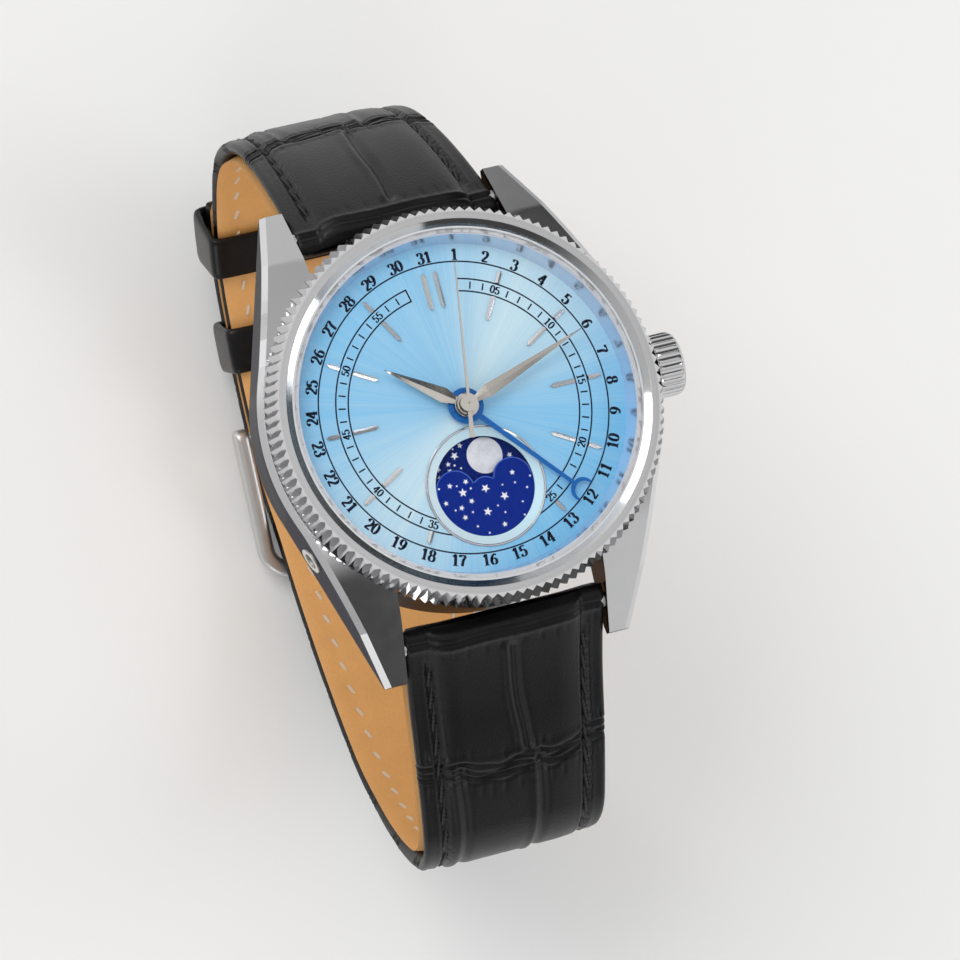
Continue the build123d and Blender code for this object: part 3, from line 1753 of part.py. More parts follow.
def make_buckle_tongue():
    start = buckle_bar_out
    lift = buckle_bar_lift
    rest = front_local.Z + buckle_front_radius + slip
    reach = front_local.X + tongue_over
    half = tongue_thickness / 2
    outline = [
        (start - half, lift + tongue_ring - half),
        (start + half, lift + tongue_ring - half),
        (start + tongue_bend - half - slip * 3, lift + tongue_rise - slip * 2),
        (reach, rest),
        (reach, rest + tongue_thickness),
        (start + tongue_bend / 2, lift + tongue_rise + tongue_thickness),
        (start + half, lift + tongue_rise - half),
    ]
    points = [buckle_point(a, n) for a, n in outline]
    blade = make_face(Polyline(*points, close=True)) + Pos(*bar_at) * Circle(tongue_ring)
    blade -= Pos(*bar_at) * Circle(buckle_bar_radius + running)
    return extrude(Plane.YZ * blade, tongue_width / 2, both=True)


def main():
    os.makedirs("parts", exist_ok=True)
    cannon, centre_train = make_cannon_pinion()
    short_leather, short_lining = make_short_half()
    long_leather, long_lining = make_long_half()
    nodes = {
        "mid_case": make_mid_case(),
        "bezel": make_bezel(),
        "crystal": make_crystal(),
        "crystal_gasket": make_crystal_gasket(),
        "flange_ring": make_flange_ring(),
        "case_back": make_case_back(),
        "case_back_glass": make_back_glass(),
        "case_back_gasket": make_back_gasket(),
        "movement_holder": make_movement_holder(),
        "dial": make_dial(),
        "moon_frame_ring": make_moon_frame(),
        "hour_markers": make_hour_markers(),
        "moon_plate": make_moon_plate(),
        "moon_disc": make_moon_disc(),
        "moon_inlays": make_moons(),
        "hour_hand": make_hour_hand(),
        "minute_hand": make_minute_hand(),
        "seconds_hand": make_seconds_hand(),
        "date_hand": make_date_hand(),
        "cannon_pinion": cannon,
        "minute_wheel": make_minute_wheel(),
        "hour_wheel": make_hour_wheel(),
        "date_wheel": make_date_wheel(),
        "main_plate": make_main_plate(),
        "barrel_bridge": make_barrel_bridge(),
        "train_bridge": make_train_bridge(),
        "pallet_bridge": make_pallet_bridge(),
        "balance_cock": make_balance_cock(),
        "jewels": make_jewels(),
        "bridge_screws": make_bridge_screws(),
        "barrel_drum": make_barrel(),
        "mainspring": make_mainspring(),
        "ratchet_wheel": make_ratchet(),
        "crown_wheel": make_crown_wheel(),
        "centre_wheel": centre_train,
        "third_wheel": make_third_wheel(),
        "fourth_wheel": make_fourth_wheel(),
        "escape_wheel": make_escape_wheel(),
        "pallet_fork": make_pallet_fork(),
        "balance_wheel": make_balance(),
        "hairspring": make_hairspring(),
        "rotor": make_rotor(),
        "rotor_bearing": make_rotor_bearing(),
        "crown": make_crown(),
        "winding_stem": make_stem(),
        "crown_tube": make_crown_tube(),
        "crown_gasket": make_crown_gasket(),
        "winding_pinion": make_winding_pinion(),
        "corrector_push": make_corrector_push(),
        "corrector_sleeve": make_corrector_sleeve(),
        "corrector_spring": make_corrector_spring(),
        "strap_short_leather": short_leather,
        "strap_short_lining": short_lining,
        "strap_long_leather": long_leather,
        "strap_long_lining": long_lining,
        "spring_bars": make_spring_bars(),
        "fixed_keeper": make_fixed_keeper(),
        "loose_keeper": make_loose_keeper(),
        "buckle_frame": make_buckle_frame(),
        "buckle_tongue": make_buckle_tongue(),
    }
    bars = list(nodes["spring_bars"].solids()) + [make_buckle_bar().solid()]
    nodes["spring_bars"] = Compound(children=bars)
    for name, shape in nodes.items():
        export_step(shape, f"parts/{name}.step")
    centre, radius, _, _ = keeper_bend()
    print("loose keeper bend centre", centre, "radius", radius)
    print("buckle bar", bar_at, "front bar", front_at)
    print("nodes", len(nodes))


main()
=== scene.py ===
import json
import math

import bmesh
import bpy
import numpy as np
from bpy.props import FloatProperty, FloatVectorProperty, PointerProperty
from mathutils import Matrix, Vector


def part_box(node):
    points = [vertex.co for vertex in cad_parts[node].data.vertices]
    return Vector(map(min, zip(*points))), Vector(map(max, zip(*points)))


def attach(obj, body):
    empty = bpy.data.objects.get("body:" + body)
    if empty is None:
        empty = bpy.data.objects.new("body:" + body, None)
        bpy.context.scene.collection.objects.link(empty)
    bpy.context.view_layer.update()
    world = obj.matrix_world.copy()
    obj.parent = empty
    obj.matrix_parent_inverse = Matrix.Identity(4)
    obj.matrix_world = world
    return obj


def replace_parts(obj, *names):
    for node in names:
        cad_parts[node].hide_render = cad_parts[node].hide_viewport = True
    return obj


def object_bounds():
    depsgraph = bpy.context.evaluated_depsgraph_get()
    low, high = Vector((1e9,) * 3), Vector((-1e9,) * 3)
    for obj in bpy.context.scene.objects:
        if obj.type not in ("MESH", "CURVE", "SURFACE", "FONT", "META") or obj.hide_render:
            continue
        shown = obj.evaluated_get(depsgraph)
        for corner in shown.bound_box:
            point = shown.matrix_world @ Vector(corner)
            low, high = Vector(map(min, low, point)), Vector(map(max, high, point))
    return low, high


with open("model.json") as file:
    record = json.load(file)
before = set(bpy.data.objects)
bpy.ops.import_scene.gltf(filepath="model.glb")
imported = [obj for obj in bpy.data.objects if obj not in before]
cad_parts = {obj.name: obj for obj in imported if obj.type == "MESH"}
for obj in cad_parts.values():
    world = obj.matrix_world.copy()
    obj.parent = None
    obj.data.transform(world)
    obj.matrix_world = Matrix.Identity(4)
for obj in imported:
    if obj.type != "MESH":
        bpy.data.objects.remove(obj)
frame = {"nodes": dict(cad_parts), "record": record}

bl_info = {
    "name": "Moon phase watch",
    "version": (1, 0, 0),
    "blender": (4, 5, 0),
    "location": "3D View > Sidebar > Watch",
    "description": "Dial print, leather, stitching and finishes for a packed moon phase watch",
    "category": "Object",
}

CAD_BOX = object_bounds()
MM = 0.001
DIAL_HEIGHT = 10.6 * MM  # of the dial's face over the case back
LINING_PART = 0.8 * MM  # thickness of the strap's lining
MERGE_DIGITS = 6  # corners that agree to this many digits of a metre are one point
SMOOTH_ANGLE = 22.0  # neighbours of a curved face within these degrees are shaded as one
BODIES = frame["record"]["behaviour"]["bodies"]
BODY_OF = {node: body for body, nodes in BODIES.items() for node in nodes}


# Shader values as Python expressions


class Value:
    """A shader socket that takes part in Python arithmetic. Each operation adds its Math node."""

    def __init__(self, shade, socket):
        self.shade = shade
        self.socket = socket

    def math(self, operation, *others):
        sockets = {i + 1: other for i, other in enumerate(others)}
        sockets[0] = self
        return self.shade.node("ShaderNodeMath", {"operation": operation}, sockets)

    def __add__(self, other):
        return self.math("ADD", other)

    def __mul__(self, other):
        return self.math("MULTIPLY", other)

    def __sub__(self, other):
        return self.math("SUBTRACT", other)

    def __truediv__(self, other):
        return self.math("DIVIDE", other)

    def __pow__(self, other):
        return self.math("POWER", other)

    def __rsub__(self, other):
        return (self * -1.0) + other

    def __neg__(self):
        return self * -1.0

    __radd__ = __add__
    __rmul__ = __mul__

    def clamp(self):
        return self.shade.node("ShaderNodeClamp", {}, {0: self})

    def steps(self, low, high):
        """0 below low, 1 above high, smooth between."""
        settings = {"interpolation_type": "SMOOTHSTEP"}
        sockets = {"Value": self, "From Min": low, "From Max": high}
        return self.shade.node("ShaderNodeMapRange", settings, sockets)

    def between(self, low, high, soft):
        """1 from low to high, with soft edges."""
        return self.steps(low - soft, low) * (1 - self.steps(high, high + soft))


class Shade:
    """One procedural material while it is put together."""

    def __init__(self, name, tree=None):
        self.material = None
        if tree is None:
            self.material = bpy.data.materials.new(name)
            self.material.use_nodes = True
            tree = self.material.node_tree
        self.tree = tree
        self.tree.nodes.clear()

    def node(self, kind, settings, sockets, out=0):
        """Adds a node: its settings first, then the values or links of its sockets."""
        made = self.tree.nodes.new(kind)
        for key, setting in settings.items():
            setattr(made, key, setting)
        for key, given in sockets.items():
            if isinstance(given, Value):
                self.tree.links.new(given.socket, made.inputs[key])
            else:
                made.inputs[key].default_value = given
        return None if out is None else Value(self, made.outputs[out])

    def point(self):
        return self.node("ShaderNodeTexCoord", {}, {}, out="Object")

    def parts(self, vector):
        made = self.tree.nodes.new("ShaderNodeSeparateXYZ")
        self.tree.links.new(vector.socket, made.inputs[0])
        return [Value(self, made.outputs[i]) for i in range(3)]

    def joined(self, x, y, z):
        return self.node("ShaderNodeCombineXYZ", {}, {0: x, 1: y, 2: z})

    def noise(self, vector, scale, detail=2.0, rough=0.5):
        sockets = {"Vector": vector, "Scale": scale, "Detail": detail, "Roughness": rough}
        return self.node("ShaderNodeTexNoise", {}, sockets)

    def cells(self, vector, scale):
        """Distance from the middles of cells of random shape."""
        return self.node("ShaderNodeTexVoronoi", {}, {"Vector": vector, "Scale": scale})

    def mix(self, factor, first, second):
        """The first colour at 0, the second at 1."""
        sockets = {0: factor, 6: first, 7: second}
        return self.node("ShaderNodeMix", {"data_type": "RGBA"}, sockets, out=2)

    def bump(self, height, distance, strength=1.0):
        sockets = {"Height": height, "Distance": distance, "Strength": strength}
        return self.node("ShaderNodeBump", {}, sockets)

    def finish(self, sockets):
        shader = self.node("ShaderNodeBsdfPrincipled", {}, sockets)
        self.node("ShaderNodeOutputMaterial", {}, {"Surface": shader}, out=None)
        return self.material


def rgba(colour, share=1.0):
    """An opaque colour, each channel times a share."""
    return (colour[0] * share, colour[1] * share, colour[2] * share, 1.0)


# Meshes from grids of points


def grid_quads(rows, columns, closed):
    """Quads that join neighbours of a grid closed round its columns, and round its rows if asked."""
    i, j = np.meshgrid(np.arange(rows if closed else rows - 1), np.arange(columns), indexing="ij")
    k, m = (i + 1) % rows, (j + 1) % columns
    quads = [i * columns + j, i * columns + m, k * columns + m, k * columns + j]
    return np.stack(quads, -1).reshape(-1, 4).tolist()


def tube_faces(rows, columns):
    """Quads round a tube, rows along it and columns round it, and a cap at each end."""
    first = list(range(columns))
    last = [(rows - 1) * columns + k for k in first]
    return grid_quads(rows, columns, False) + [first, last[::-1]]


def put_mesh(name, points, faces, node, material, smooth=35.0):
    """Mesh object from points in metres, its faces turned outwards. It rides on a node's body and takes
    the given material; edges sharper than smooth degrees stay crisp."""
    mesh = bpy.data.meshes.new(name)
    mesh.from_pydata(np.asarray(points, float).reshape(-1, 3).tolist(), [], faces)
    shell = bmesh.new()
    shell.from_mesh(mesh)
    bmesh.ops.recalc_face_normals(shell, faces=shell.faces)
    shell.to_mesh(mesh)
    shell.free()
    mesh.shade_smooth()
    if smooth < 180:
        mesh.set_sharp_from_angle(angle=math.radians(smooth))
    piece = bpy.data.objects.new(name, mesh)
    bpy.context.scene.collection.objects.link(piece)
    mesh.materials.append(material)
    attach(piece, BODY_OF[node])
    return piece


class Batch:
    """Many small closed shapes gathered into one mesh."""

    def __init__(self):
        self.points = []
        self.faces = []
        self.count = 0

    def add(self, points, faces):
        self.points.append(points.reshape(-1, 3))
        self.faces += [[self.count + k for k in face] for face in faces]
        self.count += len(self.points[-1])

    def add_tube(self, rings):
        """Closed tube from rings of points: rows along the path, columns round it."""
        self.add(rings, tube_faces(*rings.shape[:2]))

    def put(self, name, node, material, smooth=35.0):
        return put_mesh(name, np.concatenate(self.points), self.faces, node, material, smooth)


def ribbon(line, half, low, high):
    """Rings of a flat ribbon: a line of (x, y) points widened by half to each side."""
    step = np.gradient(line, axis=0)
    step /= np.maximum(np.linalg.norm(step, axis=1, keepdims=True), 1e-12)
    side = np.stack([-step[:, 1], step[:, 0]], -1) * np.reshape(half, (-1, 1))
    left, right = line + side, line - side
    floor, roof = np.full((len(line), 1), low), np.full((len(line), 1), high)
    rows = [(left, floor), (right, floor), (right, roof), (left, roof)]
    return np.stack([np.hstack(pair) for pair in rows], 1)


# Numerals drawn with a broad pen: thick going down, thin going across


def bow(cx, cy, rx, ry, start, end, count=18):
    """Points of an ellipse's arc between two angles in degrees."""
    turn = np.radians(np.linspace(start, end, count))
    return np.stack([cx + rx * np.cos(turn), cy + ry * np.sin(turn)], -1)


def run(*points):
    """Points of straight strokes through the given corners."""
    corners = np.array(points, float)
    share = np.linspace(0, len(corners) - 1, 5 * (len(corners) - 1) + 1)
    index = np.minimum(share.astype(int), len(corners) - 2)
    part = (share - index)[:, None]
    return corners[index] * (1 - part) + corners[index + 1] * part


def ball(cx, cy, radius):
    """A round terminal: a short line and its half widths, which are a circle's."""
    turn = np.linspace(0, math.pi, 11)
    line = np.stack([cx - radius * np.cos(turn), np.full(11, cy)], -1)
    return line, np.maximum(radius * np.sin(turn), 0.002)


def bar(start, end, half):
    """A straight stroke: a line and its even half widths."""
    line = run(start, end)
    return line, np.full(len(line), half)


# Strokes of each digit in a box one unit high: lines for the pen, or lines with their half widths
DIGIT_STROKES = {
    "0": [bow(0.28, 0.5, 0.2, 0.45, 0, 360, 30)],
    "1": [run((0.28, 0), (0.28, 0.97)), run((0.1, 0.03), (0.46, 0.03)), run((0.28, 0.95), (0.08, 0.76))],
    "2": [
        np.concatenate([bow(0.27, 0.7, 0.19, 0.25, 175, -25), run((0.43, 0.52), (0.09, 0.08))]),
        run((0.06, 0.07), (0.5, 0.07)),
        ball(0.13, 0.72, 0.085),
        bar((0.07, 0.065), (0.49, 0.065), 0.07),
    ],
    "3": [
        bow(0.25, 0.74, 0.17, 0.21, 160, -95),
        bow(0.25, 0.28, 0.21, 0.26, 95, -160),
        ball(0.12, 0.78, 0.08),
        ball(0.11, 0.2, 0.085),
    ],
    "4": [
        run((0.37, 0.95), (0.03, 0.27)),
        run((0.03, 0.26), (0.54, 0.26)),
        run((0.37, 0.97), (0.37, 0)),
        run((0.23, 0.03), (0.51, 0.03)),
    ],
    "5": [
        bar((0.12, 0.91), (0.46, 0.91), 0.055),
        run((0.12, 0.92), (0.11, 0.5)),
        bow(0.25, 0.31, 0.21, 0.28, 130, -155),
        ball(0.11, 0.19, 0.085),
    ],
    "6": [
        bow(0.29, 0.29, 0.19, 0.26, 0, 360, 30),
        bow(0.52, 0.32, 0.42, 0.62, 178, 108),
        ball(0.43, 0.84, 0.08),
    ],
    "7": [
        bar((0.06, 0.9), (0.5, 0.9), 0.06),
        run((0.48, 0.86), (0.3, 0.5), (0.23, 0)),
        run((0.07, 0.95), (0.07, 0.76)),
    ],
    "8": [bow(0.28, 0.74, 0.16, 0.21, 0, 360, 26), bow(0.28, 0.27, 0.2, 0.25, 0, 360, 26)],
}
DIGIT_ADVANCE = 0.64  # from one digit to the next, as a share of the height
DIGIT_WIDEN = 1.14  # width of a digit on the dial over its width as drawn
DIGIT_MIDDLE = 0.48  # height in the box that comes to lie on the number's radius
TURNED_SIX = np.array([0.56, 0.98])  # a 9's point is this less the 6's


def pen_width(line, thick, thin):
    """Half width of a stroke: thin plus the rest times the 1.6th power of how upright it runs."""
    step = np.gradient(line, axis=0)
    upright = np.abs(step[:, 1]) / np.maximum(np.linalg.norm(step, axis=1), 1e-9)
    return (thin + (thick - thin) * upright**1.6) / 2


def digit_strokes(mark, thick, thin):
    """(line, half width) of each stroke of a digit. A 9 is a turned 6."""
    for stroke in DIGIT_STROKES["6" if mark == "9" else mark]:
        line, half = stroke if isinstance(stroke, tuple) else (stroke, pen_width(stroke, thick, thin))
        yield (TURNED_SIX - line if mark == "9" else line), half


def on_clock(angle, radius):
    """(x, y) at an angle in degrees clockwise from 12 o'clock."""
    turn = np.radians(angle)
    return np.stack([radius * np.sin(turn), radius * np.cos(turn)], -1)


def write_number(batch, text, angle, radius, height, low, high, outward, thick=0.25, thin=0.075):
    """Puts a number on the dial, its middle on a radius, its top outwards or inwards."""
    middle = on_clock(angle, radius)
    up = on_clock(angle, 1.0 if outward else -1.0)
    right = np.array([up[1], -up[0]])
    wide = DIGIT_ADVANCE * len(text)
    for index, mark in enumerate(text):
        for line, half in digit_strokes(mark, thick, thin):
            x = (line[:, :1] * DIGIT_WIDEN + index * DIGIT_ADVANCE - wide / 2) * height
            y = (line[:, 1:] - DIGIT_MIDDLE) * height
            placed = middle + x * right + y * up
            batch.add_tube(ribbon(placed, half * height, low, high))


def arc_line(batch, radius, start, end, width, low, high):
    """A printed arc between two clock angles."""
    count = max(6, int(abs(end - start) / 1.5))
    line = on_clock(np.linspace(start, end, count), radius)
    batch.add_tube(ribbon(line, width / 2, low, high))


def full_ring(batch, inner, outer, low, high, count=360):
    """A flat ring round the dial's centre."""
    turn = np.linspace(0, 2 * math.pi, count, endpoint=False)[:, None]
    spin = np.hstack([np.cos(turn), np.sin(turn)])
    corners = ((inner, low), (outer, low), (outer, high), (inner, high))
    rows = [np.hstack([spin * radius, np.full((count, 1), level)]) for radius, level in corners]
    batch.add(np.stack(rows, 1), grid_quads(count, 4, True))


def star(batch, x, y, radius, turn, low, high, points=5, inner=0.42):
    """A flat star: radius alternates between its points and its inner corners."""
    spin = math.radians(turn) + np.arange(points * 2) * math.pi / points
    reach = np.where(np.arange(points * 2) % 2 == 0, radius, radius * inner)
    flat = np.stack([x + reach * np.cos(spin), y + reach * np.sin(spin)], -1)
    rings = [np.hstack([flat, np.full((len(flat), 1), level)]) for level in (low, high)]
    batch.add_tube(np.stack(rings, 0))


# The strap's routes, the same as the solids'


# Arcs of each half from its lugs, as (share of the length, turn in degrees), and its first heading
SHORT_ARCS = (
    (0.149, -6.0), (0.127, -8.0), (0.201, -30.0), (0.149, -36.0), (0.179, -34.0), (0.195, -14.0),
)
LONG_ARCS = (
    (0.141, -12.0), (0.162, 6.9), (0.098, 61.4), (0.190, 26.2), (0.102, 21.7), (0.307, 17.1),
)
SHORT_HEADING, LONG_HEADING = -44.0, 229.4
SIDES = {"short": 1, "long": -1}
TAIL_GAP = 0.1 * MM  # between the short half's back and the tail
LANDING_AHEAD, LANDING_LIFT = 3.2 * MM, 0.35 * MM  # where the long half lands, past the short one


def walk(start, heading, length, arcs):
    """(y, z, heading, distance) along tangent arcs, each a share of the length with its turn.

    The heading grows evenly along each arc and the place is its running sum.
    """
    step = length / 1200
    bounds = np.cumsum([0.0] + [share for share, _ in arcs]) * length
    turns = np.cumsum([0.0] + [turn for _, turn in arcs])
    distance = np.arange(0, bounds[-1] + step / 2, step)
    angle = heading + np.interp(distance, bounds, turns)
    middle = np.radians((angle[1:] + angle[:-1]) / 2)
    y = start[0] + np.concatenate([[0], np.cumsum(np.cos(middle) * step)])
    z = start[1] + np.concatenate([[0], np.cumsum(np.sin(middle) * step)])
    return np.stack([y, z, angle, distance], -1)


def out_from(stations, side, distance):
    """(y, z) at a distance from stations, away from the wrist."""
    turn = np.radians(stations[..., 2] + side * 90)
    y, z = stations[..., 0] + distance * np.cos(turn), stations[..., 1] + distance * np.sin(turn)
    return np.stack([y, z], -1)


def strap_routes(sizes):
    """The short half's route and the long half's. The long one is walked to the buckle, climbs by
    a cubic Bezier curve and ends on the short one's back."""
    bar_z = sizes.dial_height - sizes.bar_drop

    def begin(side, heading, reach):
        return out_from(np.array([reach, bar_z, heading]), side, -sizes.roll_radius)

    start = begin(1, SHORT_HEADING, sizes.bar_reach)
    short = walk(start, SHORT_HEADING, sizes.short_length, SHORT_ARCS)
    start = begin(-1, LONG_HEADING, -sizes.bar_reach)
    front = walk(start, LONG_HEADING, sizes.long_length, LONG_ARCS)
    lift = sizes.short_thickness + TAIL_GAP
    spot = station_at(short, short[-1, 3] + LANDING_AHEAD)
    ends = np.array([front[-1, :2], out_from(spot, 1, lift + LANDING_LIFT)])
    pull = np.radians([front[-1, 2], spot[2] + 180])
    pull = np.stack([np.cos(pull), np.sin(pull)], -1) * np.linalg.norm(ends[1] - ends[0]) / 3
    t = np.linspace(0, 1, 200)[1:, None]
    ramp = (1 - t) ** 3 * ends[0] + 3 * (1 - t) ** 2 * t * (ends[0] + pull[0])
    ramp += 3 * (1 - t) * t**2 * (ends[1] - pull[1]) + t**3 * ends[1]
    back = short[::-1][short[::-1][:, 3] >= short[-1, 3] - sizes.tail_length]
    return short, stations_of(np.concatenate([front[:, :2], ramp, out_from(back, 1, lift)]))


def stations_of(path):
    """Evenly spaced stations of a path of (y, z) points, its heading from its slope."""
    run_length = np.concatenate([[0], np.cumsum(np.linalg.norm(np.diff(path, axis=0), axis=1))])
    distance = np.linspace(0, run_length[-1], 1500)
    y = np.interp(distance, run_length, path[:, 0])
    z = np.interp(distance, run_length, path[:, 1])
    window = np.hanning(41)
    window /= window.sum()
    angle = np.unwrap(np.arctan2(np.gradient(z), np.gradient(y)))
    angle = np.convolve(np.pad(angle, 20, mode="edge"), window, mode="valid")
    return np.stack([y, z, np.degrees(angle), distance], -1)


def station_at(stations, distance):
    """Stations at given distances, carried straight on before the first and after the last."""
    held = np.clip(distance, stations[0, 3], stations[-1, 3])
    y, z, heading = (np.interp(held, stations[:, 3], stations[:, k]) for k in range(3))
    turn, extra = np.radians(heading), distance - held
    return np.stack([y + extra * np.cos(turn), z + extra * np.sin(turn), heading, distance], -1)


def half_width(z, sizes):
    """Half the strap's width at a height: even at first, then tapering, then even."""
    below = sizes.dial_height - z
    share = np.clip((below - sizes.taper_from) / (sizes.taper_to - sizes.taper_from), 0, 1)
    return sizes.strap_half + (sizes.buckle_half - sizes.strap_half) * share


def centre_thickness(distance, end_thickness, sizes):
    """Padding near the lugs that thins towards the buckle, along a smooth step."""
    share = np.clip(1 - distance / sizes.pad_reach, 0, 1)
    return end_thickness + (sizes.roll_radius * 2 - end_thickness) * share**2 * (3 - 2 * share)


def smooth_step(value, low, high):
    """0 below low, 1 above high, and 3 t squared less 2 t cubed between."""
    share = np.clip((value - low) / (high - low), 0, 1)
    return share * share * (3 - 2 * share)


# Property groups


def length(name, default, description):
    return FloatProperty(name=name, default=default, unit="LENGTH", precision=5, description=description)


def colour(name, default, description):
    return FloatVectorProperty(
        name=name, default=default, subtype="COLOR", min=0.0, max=1.0, description=description
    )


class WatchStage(bpy.types.PropertyGroup):
    camera_at: FloatVectorProperty(
        name="Camera place", default=(-0.1150506, -0.0573007, 0.4506948), subtype="TRANSLATION",
        unit="LENGTH", precision=5, description="Where the camera stands",
    )
    camera_aim: FloatVectorProperty(
        name="Camera aim", default=(-0.0003136, -0.0072937, 0.0101285), subtype="TRANSLATION",
        unit="LENGTH", precision=5, description="The point in the middle of the picture",
    )
    camera_roll: FloatProperty(
        name="Camera roll", default=math.radians(15.2264), subtype="ANGLE",
        description="Turn of the camera about its line of sight",
    )
    camera_lens: FloatProperty(
        name="Lens", default=176.25, unit="CAMERA", description="Focal length in millimetres"
    )
    floor_size: length("Floor size", 3.0, "Side of the square floor")
    floor_colour: colour("Floor colour", (0.93, 0.93, 0.925), "Colour of the pale floor")
    key_power: FloatProperty(name="Key light", default=1.9, description="Watts of the key light")
    side_power: FloatProperty(name="Side light", default=0.8, description="Watts of the side light")
    sky_light: FloatProperty(name="Sky light", default=0.62, description="Strength of the even light")


class WatchMetal(bpy.types.PropertyGroup):
    steel: colour("Steel", (0.80, 0.80, 0.81), "Polished steel of the case")
    bezel: colour("Bezel steel", (0.78, 0.78, 0.79), "Steel of the fluted bezel")
    hand: colour("Hand steel", (0.74, 0.70, 0.65), "Warm steel of the hands")
    brass: colour("Brass", (0.80, 0.62, 0.30), "Brass of the wheels")
    nickel: colour("Nickel", (0.74, 0.73, 0.70), "Nickel plating of plates and bridges")
    flange: colour("Flange", (0.80, 0.82, 0.90), "Pale ring between dial and crystal")
    flange_low: colour("Flange shade", (0.66, 0.68, 0.80), "Its darker streaks")
    # The flank colour is far darker than steel: painted shade standing in for the flank's dark
    # reflections; its satin grain is real.
    flank: colour("Flank", (0.22, 0.22, 0.23), "Satin steel of the case's upright flank")
    brushed_from: length("Brushed from", 18.2 * MM, "Inner radius of the brushed bezel ring")
    brushed_to: length("Brushed to", 18.95 * MM, "Outer radius of the brushed bezel ring")


class WatchDial(bpy.types.PropertyGroup):
    height: length("Dial height", DIAL_HEIGHT, "Height of the dial's face over the case back")
    print_depth: length("Print depth", 0.012 * MM, "How far the print stands up")
    face: colour("Face", (0.18, 0.57, 0.93), "Light blue of the dial")
    # The pale blue below is the lighter blue of the spokes and of the painted highlights and painted
    # light on the dial.
    pale: colour("Pale face", (0.82, 0.98, 0.99), "Blue where the brushing catches the light")
    # The angle below turns the two fans of painted highlight.
    fan_angle: FloatProperty(name="Fan angle", default=math.radians(46.0), subtype="ANGLE",
                             description="Where the brushing is brightest, from 3 o'clock upwards")
    ring: colour("Pale ring", (0.62, 0.86, 0.95), "Dial between the moon window and its ring")
    ink: colour("Ink", (0.006, 0.010, 0.035), "Dark blue of the printed numbers")
    date_radius: length("Date radius", 15.2 * MM, "Radius of the date numbers' middles")
    date_height: length("Date number height", 1.16 * MM, "Height of a date number")
    date_line: length("Date circle", 14.5 * MM, "Radius of the circle inside the date numbers")
    track_outer: length("Track outside", 12.78 * MM, "Outer line of the minute track")
    track_inner: length("Track inside", 11.55 * MM, "Inner line of the minute track")
    minute_height: length("Minute number height", 0.80 * MM, "Height of a minute number")
    line_width: length("Line width", 0.145 * MM, "Width of the printed circles and ticks")
    track_gap: FloatProperty(name="Track gap", default=math.radians(12.0), subtype="ANGLE",
                             description="Half of the gap at 12 o'clock")


class WatchMoon(bpy.types.PropertyGroup):
    distance: length("Moon distance", 8.0 * MM, "How far the moon's pivot is below the centre")
    ring_inner: length("Ring inside", 4.96 * MM, "Radius of the window")
    ring_middle: length("Bright ring", 5.81 * MM, "Radius of the bright ring round the window")
    plate: colour("Moon plate", (0.0005, 0.022, 0.27), "Royal blue of the fixed plate")
    disc: colour("Moon disc", (0.0005, 0.014, 0.17), "Dark blue of the turning disc")
    star_colour: colour("Stars", (0.92, 0.94, 0.97), "Printed stars")
    pearl: colour("Moon", (0.86, 0.87, 0.94), "Pearl of the moon")
    hump_radius: length("Hump radius", 1.95 * MM, "Radius of the plate's two humps")
    hump_spread: length("Hump spread", 2.95 * MM, "How far the humps are from the middle")
    hump_lift: length("Hump lift", 0.3 * MM, "How far the humps' middles are above the moon's pivot")
    rise_radius: length("Rise radius", 1.5 * MM, "Radius of the low rise between the humps")
    rise_drop: length("Rise drop", 0.5 * MM, "How far the rise's middle is below the moon's pivot")


class WatchStrap(bpy.types.PropertyGroup):
    dial_height: length("Dial height", DIAL_HEIGHT, "Height of the dial's face over the case back")
    bar_reach: length("Bar reach", 20.9 * MM, "How far the spring bars are from the centre")
    bar_drop: length("Bar drop", 7.7 * MM, "How far the spring bars are below the dial")
    roll_radius: length("Roll radius", 1.75 * MM, "Radius of the strap's end round its bar")
    short_length: length("Short half", 66.4 * MM, "Length of the half with the buckle")
    long_length: length("Long half", 78.1 * MM, "Length of the long half up to the buckle")
    tail_length: length("Tail", 28.0 * MM, "Length that lies on the short half")
    short_thickness: length("Short thickness", 2.4 * MM, "Thickness of the short half at the buckle")
    long_thickness: length("Long thickness", 2.6 * MM, "Thickness of the long half at the buckle")
    strap_half: length("Half width at lugs", 10.5 * MM, "Half of the strap's width at the lugs")
    buckle_half: length("Half width at buckle", 9.0 * MM, "Half of the strap's width at the buckle")
    taper_from: length("Taper begins", 8.0 * MM, "How far below the dial the strap begins to taper")
    taper_to: length("Taper ends", 44.0 * MM, "How far below the dial the strap has its end width")
    pad_reach: length("Padding", 34.0 * MM, "How far along the strap its padding thins")
    stitch_margin: length("Stitch margin", 2.2 * MM, "From the edge to the stitches")
    stitch_pitch: length("Stitch pitch", 2.9 * MM, "From one stitch to the next")
    stitch_length: length("Stitch length", 2.4 * MM, "Length of one stitch on the leather")
    bead_length: length("Bead length", 1.25 * MM, "Length of one stitch on the lining")
    thread_radius: length("Thread radius", 0.22 * MM, "Radius of the sewing thread")
    leather: colour("Leather", (0.003, 0.003, 0.0036), "Black of the leather")
    lining: colour("Lining", (0.78, 0.40, 0.13), "Tan of the lining")
    thread: colour("Lining thread", (0.86, 0.68, 0.48), "Pale thread on the lining")


# Materials


def polished(name, tone, rough=0.06, wear=0.05):
    """Polished metal: a little haze from slow noise, and hair scratches too fine to feel."""
    shade = Shade(name)
    spot = shade.point()
    haze = shade.noise(spot, 900.0, 3.0)
    fine = shade.noise(spot, 9000.0, 2.0)
    return shade.finish({
        "Base Color": shade.mix(haze, rgba(tone, 0.94), rgba(tone)),
        "Metallic": 1.0,
        "Roughness": haze * wear + rough,
        # Painted shade: the grey Specular Tint darkens reflections seen edge-on.
        "Specular Tint": (0.45, 0.45, 0.46, 1.0),
        "Normal": shade.bump(fine, 0.00001, 0.12),
    })


